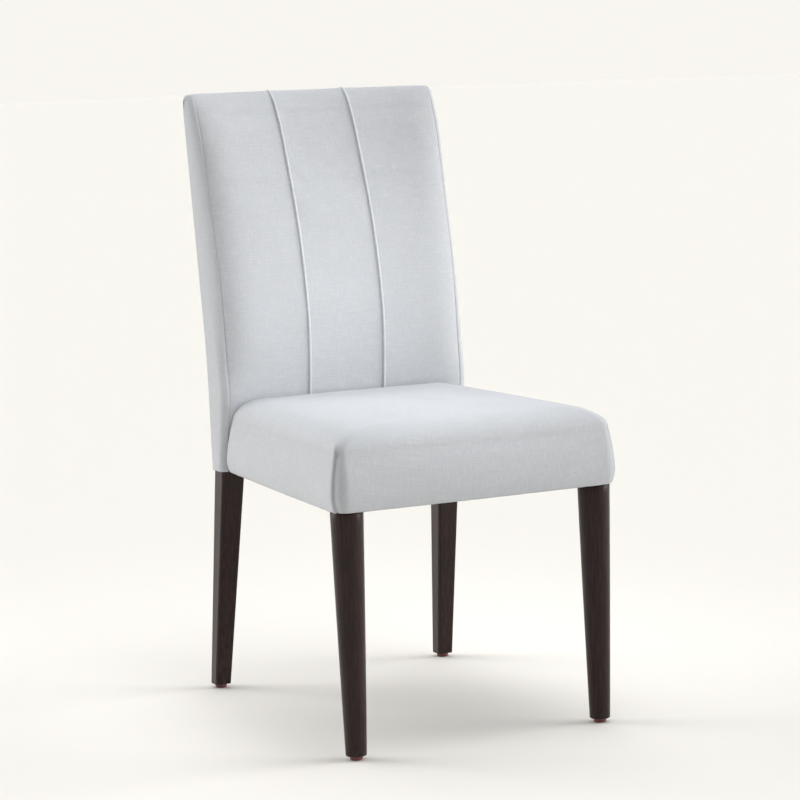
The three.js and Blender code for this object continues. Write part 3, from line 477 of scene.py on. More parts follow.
def waves(run, seed, length):
    """An uneven wave along a seam, the same on each run."""
    total = np.zeros_like(run)
    by_seed, by_wave, spread = SCATTER
    for k, (scale, amount) in enumerate(WAVES):
        phase = math.sin(seed * by_seed + k * by_wave) * spread % (2 * math.pi)
        total += amount * np.sin(2 * math.pi * run * scale / length + phase)
    return total


def puckers(distance, run, seed, height=0.42, reach=13, length=17):
    """Small gathers that a seam's thread draws into the cloth beside it."""
    distance = np.maximum(distance, 0)
    fade = np.exp(-distance / reach) * settled(distance, PUCKER_START)
    return height * fade * waves(run, seed, length)


def rolled_in(distance, depth=0.4, width=1.1):
    """How far a cloth's edge rolls down into its seam."""
    return -depth * bell(np.maximum(distance, 0), width)


def below_corner(z):
    """1 where the side seams are sewn, fading to 0 where they run out over the top corners."""
    return 1 - ramp(z, CORNER_TURN, CORNER_FADE)


# ---- Cloth under tension ----

def held_edges(grid):
    """Marks the points of a panel that its seams hold, all round its edge."""
    held = np.zeros(grid.shape[:2], bool)
    held[:, [0, -1]] = held[[0, -1], :] = True
    return held


def drawn_cloth(grid, held, cap, wrap=False):
    """How far stuffing swells a sewn cover: a coarse copy is simulated as cloth, held along its seams."""
    rows, columns = grid.shape[:2]
    last = columns if wrap else columns - 1
    faces = [[a * columns + b for a, b in cell(r, c, columns)] for r in range(rows - 1) for c in range(last)]
    piece = mesh_of("cover_under_test", grid.reshape(-1, 3), faces)
    pinned = piece.vertex_groups.new(name="seams")
    pinned.add([int(i) for i in np.flatnonzero(held.ravel())], 1.0, "REPLACE")
    cloth = piece.modifiers.new("cloth", "CLOTH")
    set_up(cloth.settings, CLOTH)
    cloth.settings.effector_weights.gravity = 0
    cloth.collision_settings.use_collision = False
    scene = bpy.context.scene
    for step in range(1, CLOTH_FRAMES + 1):
        scene.frame_set(step)
    moved = piece.evaluated_get(bpy.context.evaluated_depsgraph_get())
    flat = np.zeros(len(moved.data.vertices) * 3, np.float32)
    moved.data.vertices.foreach_get("co", flat)
    scene.frame_set(1)
    bpy.data.objects.remove(piece, do_unlink=True)
    offset = flat.reshape(rows, columns, 3) / MM - grid
    swell = (offset * normals_of(grid, wrap)).sum(2)
    return np.clip(np.nan_to_num(swell), 0, cap)


def finer(field, *counts):
    """A coarse field read on a grid of more rows and columns."""
    for axis, count in enumerate(counts):
        last = field.shape[axis] - 1
        place = np.arange(count) * (last / (count - 1))
        i = np.floor(place).astype(int)
        around = (np.take(field, np.clip(i + k, 0, last), axis=axis) for k in (-1, 0, 1, 2))
        field = cubic(*around, np.expand_dims(place - i, 1 - axis))
    return field


# ---- Finishes ----

def math_step(operation, swapped=False):
    """A method of Shade that leads to one Math node."""
    def step(self, *others):
        values = (self, *others)
        return self.math(operation, *(reversed(values) if swapped else values))
    return step


class Shade:
    """A node's result, which Python's operators carry on to Math nodes."""

    def __init__(self, finish, socket):
        self.finish = finish
        self.socket = socket

    def math(self, operation, *values, clamp=False):
        settings = {"operation": operation, "use_clamp": clamp}
        return self.finish.node("Math", settings, dict(enumerate(values)))

    __add__ = __radd__ = math_step("ADD")
    __sub__ = math_step("SUBTRACT")
    __rsub__ = math_step("SUBTRACT", swapped=True)
    __mul__ = __rmul__ = math_step("MULTIPLY")
    __truediv__ = math_step("DIVIDE")
    __pow__ = math_step("POWER")
    __gt__ = math_step("GREATER_THAN")
    __abs__ = math_step("ABSOLUTE")
    sin = math_step("SINE")
    fraction = math_step("FRACT")

    def held(self):
        return self.math("ADD", self, 0, clamp=True)

    def between(self, low, high):
        """0 at low, 1 at high, held at both ends and eased between."""
        settings = {"interpolation_type": "SMOOTHSTEP"}
        sockets = {"Value": self, "From Min": low, "From Max": high, "To Min": 0, "To Max": 1}
        return self.finish.node("MapRange", settings, sockets)


class Finish:
    """One material, built up node by node."""

    def __init__(self, name="", tree=None):
        if tree is None:
            self.material = bpy.data.materials.new(name)
            self.material.use_nodes = True
            tree = self.material.node_tree
        self.tree = tree
        self.tree.nodes.clear()

    def node(self, kind, settings=None, sockets=None, out=0):
        made = set_up(self.tree.nodes.new("ShaderNode" + kind), settings or {})
        for key, value in (sockets or {}).items():
            if isinstance(value, Shade):
                self.tree.links.new(value.socket, made.inputs[key])
            else:
                made.inputs[key].default_value = value
        return Shade(self, made.outputs[out]) if len(made.outputs) else None

    def blend(self, share, first, second):
        """Mixes two colours."""
        def colour(value):
            return value if isinstance(value, Shade) else (*value, 1)
        settings = {"data_type": "RGBA", "blend_type": "MIX", "clamp_factor": True}
        return self.node("Mix", settings, {0: share, 6: colour(first), 7: colour(second)}, out=2)

    def stretched(self, place, factors, shift=(0, 0, 0)):
        """A place multiplied along each axis, then shifted."""
        settings = {"operation": "MULTIPLY_ADD"}
        return self.node("VectorMath", settings, {0: place, 1: factors, 2: shift})

    def noise(self, place, factors, detail=2.0, rough=0.5, shift=(0, 0, 0)):
        """Noise over a place that is first multiplied, along each axis or along all by one number."""
        if factors:
            each = factors if isinstance(factors, tuple) else (factors,) * 3
            place = self.stretched(place, each, shift)
        sockets = {"Vector": place, "Scale": 1.0, "Detail": detail, "Roughness": rough}
        return self.node("TexNoise", {}, sockets)

    def part(self, place, axis):
        return self.node("SeparateXYZ", {}, {0: place}, out="XYZ".index(axis))

    def relief(self, height, depth, strength, normal=None):
        """Bumps of a depth in millimetres."""
        sockets = {"Height": height, "Distance": depth * MM, "Strength": strength}
        if normal is not None:
            sockets["Normal"] = normal
        return self.node("Bump", {}, sockets)

    def surface(self, colour, rough, specular=0.5, normal=None, **more):
        sockets = {"Base Color": colour, "Roughness": rough, "Specular IOR Level": specular}
        if normal is not None:
            sockets["Normal"] = normal
        sockets.update((key.replace("_", " "), value) for key, value in more.items())
        self.node("OutputMaterial", {}, {"Surface": self.node("BsdfPrincipled", {}, sockets)})
        return self.material


def linen_weave(f, threads):
    """Plain weave: how high each thread stands, 0 to 1, and which set is on top."""
    wander = f.noise(threads, (0.11, 0.11, 0))
    u = f.part(threads, "X") + (wander - 0.5) * 1.4
    v = f.part(threads, "Y") + (f.noise(threads, (0.09, 0.12, 0), shift=(7, 3, 0)) - 0.5) * 1.4
    across, along = (u * math.pi).sin(), (v * math.pi).sin()
    warp_on_top = (across * along) > 0
    across, along = abs(across), abs(along)
    warp, weft = across * along ** 0.45, along * across ** 0.45
    return warp * warp_on_top + weft * (1 - warp_on_top), warp_on_top


def linen_cover(name):
    """Pale ice-grey linen cloth: plain weave, uneven yarn, slubs and soft mottling, with painted shade in the
    weave's hollows and along the seams.
    """
    def tint(*colour):
        return tuple(share * LINEN_LIGHT for share in colour)

    f = Finish(name)
    cloth = f.node("UVMap", {"uv_map": "weave"})
    threads = f.stretched(cloth, (1 / (0.62 * MM),) * 2 + (1,))
    height, warp_on_top = linen_weave(f, threads)
    warp_slub = f.noise(threads, (0.5, 0.03, 0), 1.0, shift=(11, 5, 0)).between(0.5, 0.72)
    weft_slub = f.noise(threads, (0.022, 0.42, 0), 1.0, shift=(2, 17, 0)).between(0.48, 0.72)
    slub = (warp_slub + weft_slub).held()
    mottle = f.noise(threads, (0.16, 0.16, 0), 4.0, 0.62)
    cloud = f.noise(cloth, (14, 14, 0))
    yarn = f.blend(warp_on_top, tint(0.76, 0.792, 0.843), tint(0.83, 0.858, 0.905))
    yarn = f.blend(slub * 0.62, yarn, tint(0.92, 0.93, 0.945))
    # Painted shade: the hollows where threads dip under each other are darkened
    yarn = f.blend((1 - height).between(0.55, 1.0) * 0.28, yarn, tint(0.46, 0.49, 0.53))
    yarn = f.blend(mottle.between(0.35, 0.72) * 0.16, yarn, tint(0.52, 0.56, 0.62))
    yarn = f.blend(cloud.between(0.35, 0.7) * 0.07, yarn, tint(0.6, 0.6, 0.58))
    seam = f.node("Attribute", {"attribute_name": "seam"}, out=2)
    run = f.node("Attribute", {"attribute_name": "run"}, out=2)
    in_stitch = (run / 3.2).fraction()
    stitch = in_stitch.between(0.08, 0.2) * (1 - in_stitch.between(0.74, 0.86))
    thread = stitch * (1 - seam.between(0.35, 0.75))
    # Darker along the seams and darts: painted shade in the seam grooves, with a trace of dirt
    yarn = f.blend((1 - seam.between(0.1, 1.3)) * 0.1, yarn, tint(0.3, 0.32, 0.34))
    yarn = f.blend(thread * 0.7, yarn, tint(0.72, 0.75, 0.78))
    relief = height * 0.75 + slub * 0.35 + mottle * 0.5 + thread * 0.8
    return f.surface(
        yarn, rough=0.86 - slub * 0.08, normal=f.relief(relief, 0.3, 0.75),
        specular=0.2, Sheen_Weight=0.1, Sheen_Roughness=0.6, Sheen_Tint=(0.94, 0.96, 1.0, 1),
    )


def espresso_wood(name):
    """Dark espresso-stained hardwood with a satin lacquer: fine straight grain, open pores, rubbed edges."""
    f = Finish(name)
    place = f.node("NewGeometry")
    drift = f.noise(place, (6, 6, 2.2))
    bend = f.node("CombineXYZ", {}, {0: drift * 5, 1: drift * 5, 2: drift * 1.2})
    grain_place = f.node("VectorMath", {"operation": "ADD"}, {0: f.stretched(place, (300, 300, 22)), 1: bend})
    grain = f.noise(grain_place, None, 5.0, 0.62)
    pores = f.noise(place, (1500, 1500, 90), rough=0.6).between(0.6, 0.74)
    patches = f.noise(place, (17, 17, 5), 3.0)
    tone = f.blend(grain.between(0.3, 0.72), (0.0115, 0.0054, 0.0051), (0.033, 0.016, 0.014))
    tone = f.blend(patches.between(0.42, 0.75) * 0.5, tone, (0.034, 0.0185, 0.0165))
    tone = f.blend(pores * 0.6, tone, (0.006, 0.004, 0.004))
    rounded = f.node("Bevel", {"samples": 4}, {"Radius": 1.4 * MM})
    normals = {0: rounded, 1: f.node("NewGeometry", out=1)}
    flatness = f.node("VectorMath", {"operation": "DOT_PRODUCT"}, normals, out=1)
    edge = (1 - flatness).between(0.015, 0.1) * f.noise(place, (60, 60, 30), 3.0).between(0.35, 0.6)
    tone = f.blend(edge * 0.35, tone, (0.11, 0.062, 0.05))
    foot = 1 - f.part(place, "Z").between(0.008, 0.05)
    scuff = f.noise(place, (120, 120, 60), 4.0, 0.7).between(0.55, 0.7) * foot
    tone = f.blend(scuff * 0.3, tone, (0.1, 0.07, 0.055))
    shine = 0.35 + (grain - 0.5) * 0.14 + pores * 0.18 + scuff * 0.15
    normal = f.relief(grain * 0.6 - pores * 0.9 + patches * 0.4, 0.14, 0.6, rounded)
    return f.surface(
        tone, rough=shine, normal=normal, specular=0.17,
        Coat_Weight=0.1, Coat_Roughness=0.14, Coat_IOR=1.5,
    )


def planed_wood(name):
    """Planed beech for the hidden frame: growth rings, flecks and saw marks."""
    f = Finish(name)
    place = f.node("NewGeometry")
    bend = f.noise(place, 5)
    rings = (f.part(place, "Z") * 240 + f.part(place, "Y") * 90 + bend * 9).sin()
    grain = f.noise(place, (40, 400, 400), 4.0, 0.6)
    fleck = f.noise(place, (240, 900, 900), 1.0).between(0.64, 0.76)
    tone = f.blend(rings * 0.5 + 0.5, (0.5, 0.335, 0.185), (0.62, 0.455, 0.275))
    tone = f.blend(grain.between(0.3, 0.7) * 0.45, tone, (0.42, 0.27, 0.14))
    tone = f.blend(fleck * 0.5, tone, (0.34, 0.2, 0.1))
    saw = (f.part(place, "X") * 1900 + bend * 3).sin()
    normal = f.relief(grain + fleck * 0.4 + saw * 0.15, 0.12, 0.7)
    return f.surface(tone, rough=0.62 + grain * 0.18, normal=normal, specular=0.35)


def zinc_steel(name):
    """Zinc-plated steel with fine drawn lines and dull spots."""
    f = Finish(name)
    place = f.node("NewGeometry")
    lines = f.noise(place, (2600, 2600, 260))
    spots = f.noise(place, 420, 4.0, 0.65)
    tone = f.blend(spots.between(0.35, 0.7), (0.52, 0.53, 0.54), (0.38, 0.4, 0.43))
    normal = f.relief(lines, 0.05, 0.5)
    return f.surface(tone, rough=0.3 + spots * 0.22, Metallic=1.0, normal=normal)


def glide_plastic(name):
    """Red-brown moulded plastic, dulled underneath where it slides."""
    f = Finish(name)
    place = f.node("NewGeometry")
    fine = f.noise(place, 1500, 3.0)
    streak = f.noise(place, (420, 90, 420), 4.0, 0.7).between(0.45, 0.66)
    sole = 1 - f.part(place, "Z").between(0.0002, 0.0018)
    tone = f.blend(fine, (0.125, 0.03, 0.026), (0.165, 0.042, 0.036))
    tone = f.blend(streak * sole * 0.6, tone, (0.25, 0.14, 0.11))
    normal = f.relief(fine * 0.5 + streak * sole, 0.08, 0.6)
    shine = 0.42 + sole * 0.2 + fine * 0.08
    return f.surface(tone, rough=shine, normal=normal, specular=0.45)


def webbing_weave(name):
    """Elastic upholstery webbing: coarse twill with worn, paler patches."""
    f = Finish(name)
    place = f.node("NewGeometry")
    x, y, z = (f.part(place, axis) for axis in "XYZ")
    ribs = ((x + y + z) * (math.pi / (1.1 * MM))).sin()
    cross = ((x - y - z) * (math.pi / (1.3 * MM))).sin()
    height = ribs * cross * 0.5 + 0.5
    wear = f.noise(place, 240, 3.0)
    # The tone follows the weave's height: painted shade darkens its hollows and the ribs stay lighter
    tone = f.blend(height, (0.025, 0.022, 0.02), (0.095, 0.085, 0.075))
    tone = f.blend(wear.between(0.5, 0.75) * 0.3, tone, (0.15, 0.13, 0.11))
    normal = f.relief(height, 0.3, 0.8)
    return f.surface(tone, rough=0.8 + wear * 0.12, normal=normal, specular=0.25)


def bonded_cloth(name):
    """Black bonded cloth: pressed fibres with a small dimple pattern."""
    f = Finish(name)
    place = f.node("NewGeometry")
    fibre = f.noise(place, (520, 2100, 900), 4.0, 0.7)
    other = f.noise(place, (2100, 520, 900), 4.0, 0.7, (3, 1, 4))
    across, along = ((f.part(place, axis) * (math.pi / (1.6 * MM))).sin() for axis in "XY")
    dimple = abs(across * along).between(0.3, 0.9)
    dust = f.noise(place, 38, 3.0).between(0.48, 0.75)
    tone = f.blend((fibre + other) * 0.5, (0.008, 0.008, 0.009), (0.03, 0.03, 0.032))
    tone = f.blend(dust * 0.22, tone, (0.075, 0.072, 0.068))
    normal = f.relief(fibre * 0.6 + other * 0.6 - dimple * 0.5, 0.18, 0.9)
    return f.surface(tone, rough=0.84 + fibre * 0.1, normal=normal, specular=0.2)


def cut_foam(name, tone_a, tone_b, size):
    """Stuffing: open cells or loose fibres at the given size."""
    f = Finish(name)
    place = f.node("NewGeometry")
    sockets = {"Vector": place, "Scale": 1 / (size * MM)}
    cells = f.node("TexVoronoi", {"feature": "DISTANCE_TO_EDGE"}, sockets)
    fine = f.noise(place, 900, 3.0)
    tone = f.blend(fine.between(0.3, 0.7), tone_a, tone_b)
    # Painted shade: the grooves between the cells are darkened
    tone = f.blend((1 - cells.between(0.02, 0.2)) * 0.25, tone, tuple(0.6 * c for c in tone_a))
    normal = f.relief(cells + fine * 0.3, 0.4, 0.8)
    return f.surface(tone, rough=0.9 + fine * 0.08, normal=normal, specular=0.2)


# ---- Upholstery ----

def fit_piece(piece, slot, *nodes):
    """Gives a piece its slot's finish and its place in the chair; nodes are the solids that it stands for."""
    piece.data.materials.clear()
    piece.data.materials.append(finishes[slot])
    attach(piece, "root")
    if nodes:
        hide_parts(*nodes)


def soft_piece(name, slot, node, fill, *shell):
    """A shell of cloth in place of one soft solid."""
    piece = cloth_shell(name, *shell)
    fit_piece(piece, slot, node)


def panel_runs(grid):
    """Arc lengths up and across a panel of the back, and the distances from its sides and from its top."""
    run, side = run_along(grid, 0), run_along(grid, 1)
    return run, side, np.minimum(side, side[:, -1:] - side), run[-1:] - run


def two_sided(left, distance, run, seeds, *shape):
    """Puckers that differ between the sitter's left and right."""
    return np.where(left, *(puckers(distance, run, seed, *shape) for seed in seeds))


def back_columns(dense):
    """Places across the inside back, closer together at the side seams and the welts."""
    if not dense:
        return np.unique(np.append(np.linspace(-BACK_FLAT, BACK_FLAT, COARSE_COLUMNS), [-WELT, WELT]))
    places = [np.linspace(-BACK_FLAT, BACK_FLAT, FINE_COLUMNS)]
    for seam in (-WELT, WELT, -BACK_FLAT, BACK_FLAT):
        places += [seam - BESIDE_SEAM, seam + BESIDE_SEAM]
    merged = np.unique(np.round(np.concatenate(places), 3))
    merged = merged[abs(merged) <= round(BACK_FLAT, 3)]
    kept = [merged[0]]
    for place in merged[1:]:
        if place - kept[-1] > LEAST_STEP:
            kept.append(place)
    kept[-1] = BACK_FLAT
    return np.array(kept)


def back_panel_grid(columns, step):
    """Outer points of the inside back [row][column] in millimetres, without welts."""
    lines = []
    for place in columns:
        share = place / BACK_FLAT
        line = back_line(share, BACK_EDGE_ROUND, 0, INSIDE_LOW, REAR_SEAM, step)
        flat = back_half(line[:, 1]) - BACK_EDGE_ROUND
        x = lerp(place, share * flat, ramp(abs(abs(place) - WELT), WELT_STRAIGHT, WELT_BLEND))
        lines.append(np.column_stack([x, line]))
    return np.stack(lines, axis=1)


def inside_back():
    """The inside back cover: one cloth panel with two pin-tucked welts, from the seat over the top edge."""
    coarse_columns, columns = back_columns(dense=False), back_columns(dense=True)
    coarse, grid = back_panel_grid(coarse_columns, 8.0), back_panel_grid(columns, 2.6)
    held = held_edges(coarse)
    held[:, np.isin(np.round(coarse_columns, 3), [-WELT, WELT])] = True
    last = len(coarse_columns) - 1
    swell = finer(drawn_cloth(coarse, held, 3.0), len(grid), last + 1)
    places = np.interp(columns, coarse_columns, np.arange(last + 1))
    i = np.clip(np.floor(places).astype(int), 0, last - 1)
    swell = lerp(swell[:, i], swell[:, i + 1], places - i)

    run, side, from_side, from_top = panel_runs(grid)
    x, z = grid[:, :, 0], grid[:, :, 2]
    left = x > 0
    beside_welt = x + np.where(left, -WELT, WELT)
    from_welt = np.abs(beside_welt)
    wide = np.where(beside_welt < -WELT_LEAN, WELT_HALF - WELT_LEAN, WELT_HALF + WELT_LEAN)
    leaning = np.minimum(np.abs((beside_welt + WELT_LEAN) / wide), 1)
    ridge = WELT_RISE * WELT_FULLNESS * (1 - leaning ** WELT_ROUNDNESS)
    slit = np.where(beside_welt < 0, WELT_SLIT_INNER, WELT_SLIT_OUTER)
    slit = slit * bell(from_welt - WELT_HALF - WELT_SLIT_OUT, WELT_SLIT_WIDTH)
    sewn = below_corner(z)
    flattened = 1 - 0.5 * ramp(z, WELT_FLATTENS, CORNER_FADE)
    lift = swell - INSIDE_SETTLING * settled(np.minimum(from_side, from_welt), 18)
    lift += (ridge - slit) * flattened
    lift += PAD_FULL * settled(from_side, PAD_SHOULDER) * ramp(from_top, 0, PAD_FADE)
    lift += rolled_in(from_side) * sewn + rolled_in(from_top)
    lift += two_sided(left, from_side, run, (3, 8)) * sewn
    lift += two_sided(left, from_welt, run, (5, 9), 0.16, 7, 13)
    cloth = np.stack([side - side.max() / 2, run], axis=2)
    from_edge = np.minimum(from_side + UNSEWN * (1 - sewn), from_top)
    marks = {"seam": np.minimum(from_edge, np.abs(from_welt - WELT_HALF) + 0.9), "run": run}
    shell = raised(grid, lift), FABRIC, cloth, marks
    soft_piece("inside_back_panel", "linen_cover", "inside_back_cover", 0.85, *shell)


def outside_back():
    """The outside back cover, drawn tight over wadding from the rear seam to the frame's foot."""
    def panel(shares, step):
        z = np.linspace(REAR_SEAM - 0.4, SKIRT, round((REAR_SEAM - SKIRT) / step) + 1)
        x = shares[None, :] * (back_half(z) - BACK_EDGE_ROUND)[:, None]
        y = np.stack([back_rear(z, share, 0) for share in shares], axis=1)
        return np.stack([x, y, np.repeat(z[:, None], len(shares), 1)], axis=2)[::-1]

    coarse = panel(np.linspace(1, -1, 41), 10.0)
    even = np.linspace(1, -1, 111)
    grid = panel(lerp(even, np.sin(even * math.pi / 2), 0.35), 3.0)
    swell = finer(drawn_cloth(coarse, held_edges(coarse), 2.5), *grid.shape[:2])
    run, side, from_side, from_top = panel_runs(grid)
    lift = swell - OUTSIDE_SETTLING * settled(from_side, 22)
    lift += rolled_in(from_side) + rolled_in(from_top)
    lift += two_sided(grid[:, :, 0] > 0, from_side, run, (12, 15)) + puckers(from_top, side, 21, 0.3)
    grid = raised(grid, lift)
    cloth = np.stack([side - side.max() / 2, run], axis=2)
    marks = {"seam": np.minimum(from_side, from_top), "run": np.where(from_side < from_top, run, side)}
    soft_piece("outside_back_panel", "linen_cover", "outside_back_cover", 0.9, grid, FABRIC, cloth, marks)
    under = grid - normals_of(grid) * (FABRIC + 0.1)
    rows = np.flatnonzero((grid[:, 0, 2] > RAIL_BOTTOM + 1) & (grid[:, 0, 2] < ARC_START))
    shell = under[rows][:, 3:-3], WADDING, cloth[rows][:, 3:-3], {}
    soft_piece("rear_wadding", "wadding", "back_wadding", 0.5, *shell)


def side_strip(hand):
    """The gusset down one side of the back, from the front seam round the edge to the rear seam."""
    turns = np.linspace(SEAM_TURN, math.pi / 2, 10)
    levels = np.linspace(0, 1, 215)
    middle = round((ARC_START - SKIRT) / GUSSET_STEP) + 1 + (ARC_STEPS + TURN_STEPS) // 2

    def edge_line(round_, turn, rear):
        """A line of the edge from the skirt to the middle of the top, in front or behind."""
        side = 1 - math.cos(turn) / math.cos(SEAM_TURN)
        out = (math.sin(turn) - math.sin(SEAM_TURN)) / (1 - math.sin(SEAM_TURN))
        whole = back_line(1.0, round_, side, SKIRT, SKIRT, GUSSET_STEP)
        flat = BACK_EDGE_ROUND if turn == SEAM_TURN else round_
        points = np.column_stack([back_half(whole[:, 1]) - flat + flat * out, whole])
        points = points[middle:][::-1] if rear else points[:middle + 1]
        run = run_along(points[:, None], 0)[:, 0]
        return np.column_stack([np.interp(levels * run[-1], run, values) for values in points.T])

    eased = ramp((1 - levels) * 28, 0, 1)[:, None]
    eased = eased * eased * (3 - 2 * eased)
    in_front = [edge_line(BACK_EDGE_ROUND, turn, False) for turn in turns]
    behind = [lerp(edge_line(BACK_EDGE_ROUND, turn, True), edge_line(BACK_REAR_EDGE_ROUND, turn, True), eased)
              for turn in turns]
    between = [lerp(in_front[-1], behind[-1], share) for share in np.linspace(0, 1, 13)[1:-1]]
    rear_flat = [lerp(behind[1], behind[0], share) for share in (0.35, 0.7)]
    grid = np.stack(in_front + between + behind[:0:-1] + rear_flat + [behind[0]], axis=1)
    run, side = run_along(grid, 0), run_along(grid, 1)
    from_front, from_rear = side, side[:, -1:] - side
    width = np.maximum(side[:, -1:], 1e-6)
    pillow = GUSSET_PILLOW * ramp(width, 0, 60) * np.sin(math.pi * np.clip(side / width, 0.001, 0.999)) ** 0.8
    seed = 31 if hand == "right" else 24
    lift = SEAM_ALLOWANCE * bell(from_front - 2.1, 1.2) + rolled_in(from_front) + rolled_in(from_rear)
    lift += puckers(from_front, run, seed, 0.4, 15, 19) + puckers(from_rear, run, seed + 2, 0.3, 12, 16)
    lift = lift * below_corner(grid[:, :, 2]) + pillow * ramp(run[-1:] - run, 0, 30)
    outward = normals_of(grid)
    outward[-2:] = [0.3, 0, 1]
    outward /= np.linalg.norm(outward, axis=2, keepdims=True)
    grid = grid + outward * lift[:, :, None]
    seam = np.minimum(from_front, from_rear) + UNSEWN * (1 - below_corner(grid[:, :, 2]))
    if hand == "right":
        grid = grid[:, ::-1] * [-1, 1, 1]
        run, side, seam = run[:, ::-1], side[:, ::-1], seam[:, ::-1]
    cloth = np.stack([side, run], axis=2)
    shell = grid, FABRIC, cloth, {"seam": seam, "run": run}
    soft_piece("back_gusset_strip_" + hand, "linen_cover", "back_gusset_" + hand, 0.9, *shell)


def fold_at(shape, z, from_dart):
    out, rise, half_height, place, half_width = shape
    return out * bell(z - DART_TOP - rise, half_height) * bell(from_dart - place, half_width)


def seat_rings(counts, levels, crown_shares):
    """Rings of the seat's outer surface, from the hem up and in over the crown."""
    middle = SKIRT + SEAT_TUCK_HEIGHT

    def wall_at(z):
        tuck = SEAT_TUCK * max(0, 1 - (z - SKIRT) / SEAT_TUCK_HEIGHT) ** 2
        return tuck + SEAT_DRAW * max(0, (z - middle) / (SEAT_ROUND_START - middle)) ** 1.6

    def level(outline, z):
        return np.column_stack([outline, np.full(len(outline), z)])

    rings = [level(seat_ring(z, wall_at(z), 0, 0, counts), z) for z in levels]
    for a in np.linspace(0, math.pi / 2, SEAT_ROUND_STEPS + 1)[1:]:
        z = SEAT_ROUND_START + SEAT_TOP_ROUND_HEIGHT * math.sin(a)
        turn = 1 - math.cos(a)
        edge = seat_ring(z, SEAT_DRAW, SEAT_TOP_ROUND_WIDTH * turn, SEAT_REAR_TOP_ROUND * turn, counts)
        rings.append(level(edge, z))
    centre = np.array([0, (FRONT_FACE + seat_rear(SEAT_EDGE)) / 2])
    for share in crown_shares:
        rise = (1 - math.cos(math.pi * share)) / 2
        rings.append(level(lerp(edge, centre, share), SEAT_EDGE + SEAT_CROWN * rise))
    return np.stack(rings)


def seat_swell(grid):
    """How far the stuffing swells the seat cover, at each point of its fine grid."""
    coarse = seat_rings(COARSE_SEAT, np.linspace(SKIRT, SEAT_ROUND_START, 10), np.linspace(0.08, 0.97, 14))
    corner = COARSE_SEAT[0] + round(COARSE_SEAT[1] * DART_TURN)
    held = np.zeros(coarse.shape[:2], bool)
    held[[0, -1]] = True
    darted = coarse[:, 0, 2] < DART_TOP
    held[darted, corner] = held[darted, -corner] = True
    swell = drawn_cloth(coarse, held, 4.0, wrap=True)

    places, done = [], 0
    for fine_count, coarse_count in zip(FINE_SEAT, COARSE_SEAT):
        places += list(done + np.arange(fine_count) * coarse_count / fine_count)
        done += coarse_count
    total = 2 * done
    places = np.array(places + [done])
    places = np.concatenate([places, total - places[1:-1][::-1]])
    coarse_run, run = run_along(coarse, 0)[:, 0], run_along(grid, 0)[:, 0]
    level = run / run[-1] * coarse_run[-1]
    swell = np.stack([np.interp(level, coarse_run, column) for column in swell.T], axis=1)
    i = np.floor(places).astype(int)
    swell = lerp(swell[:, i % total], swell[:, (i + 1) % total], places - i)
    for _ in range(SWELL_SMOOTHING):
        swell[1:-1] = (swell[:-2] + 2 * swell[1:-1] + swell[2:]) / 4
        swell = (np.roll(swell, 1, 1) + 2 * swell + np.roll(swell, -1, 1)) / 4
    return swell


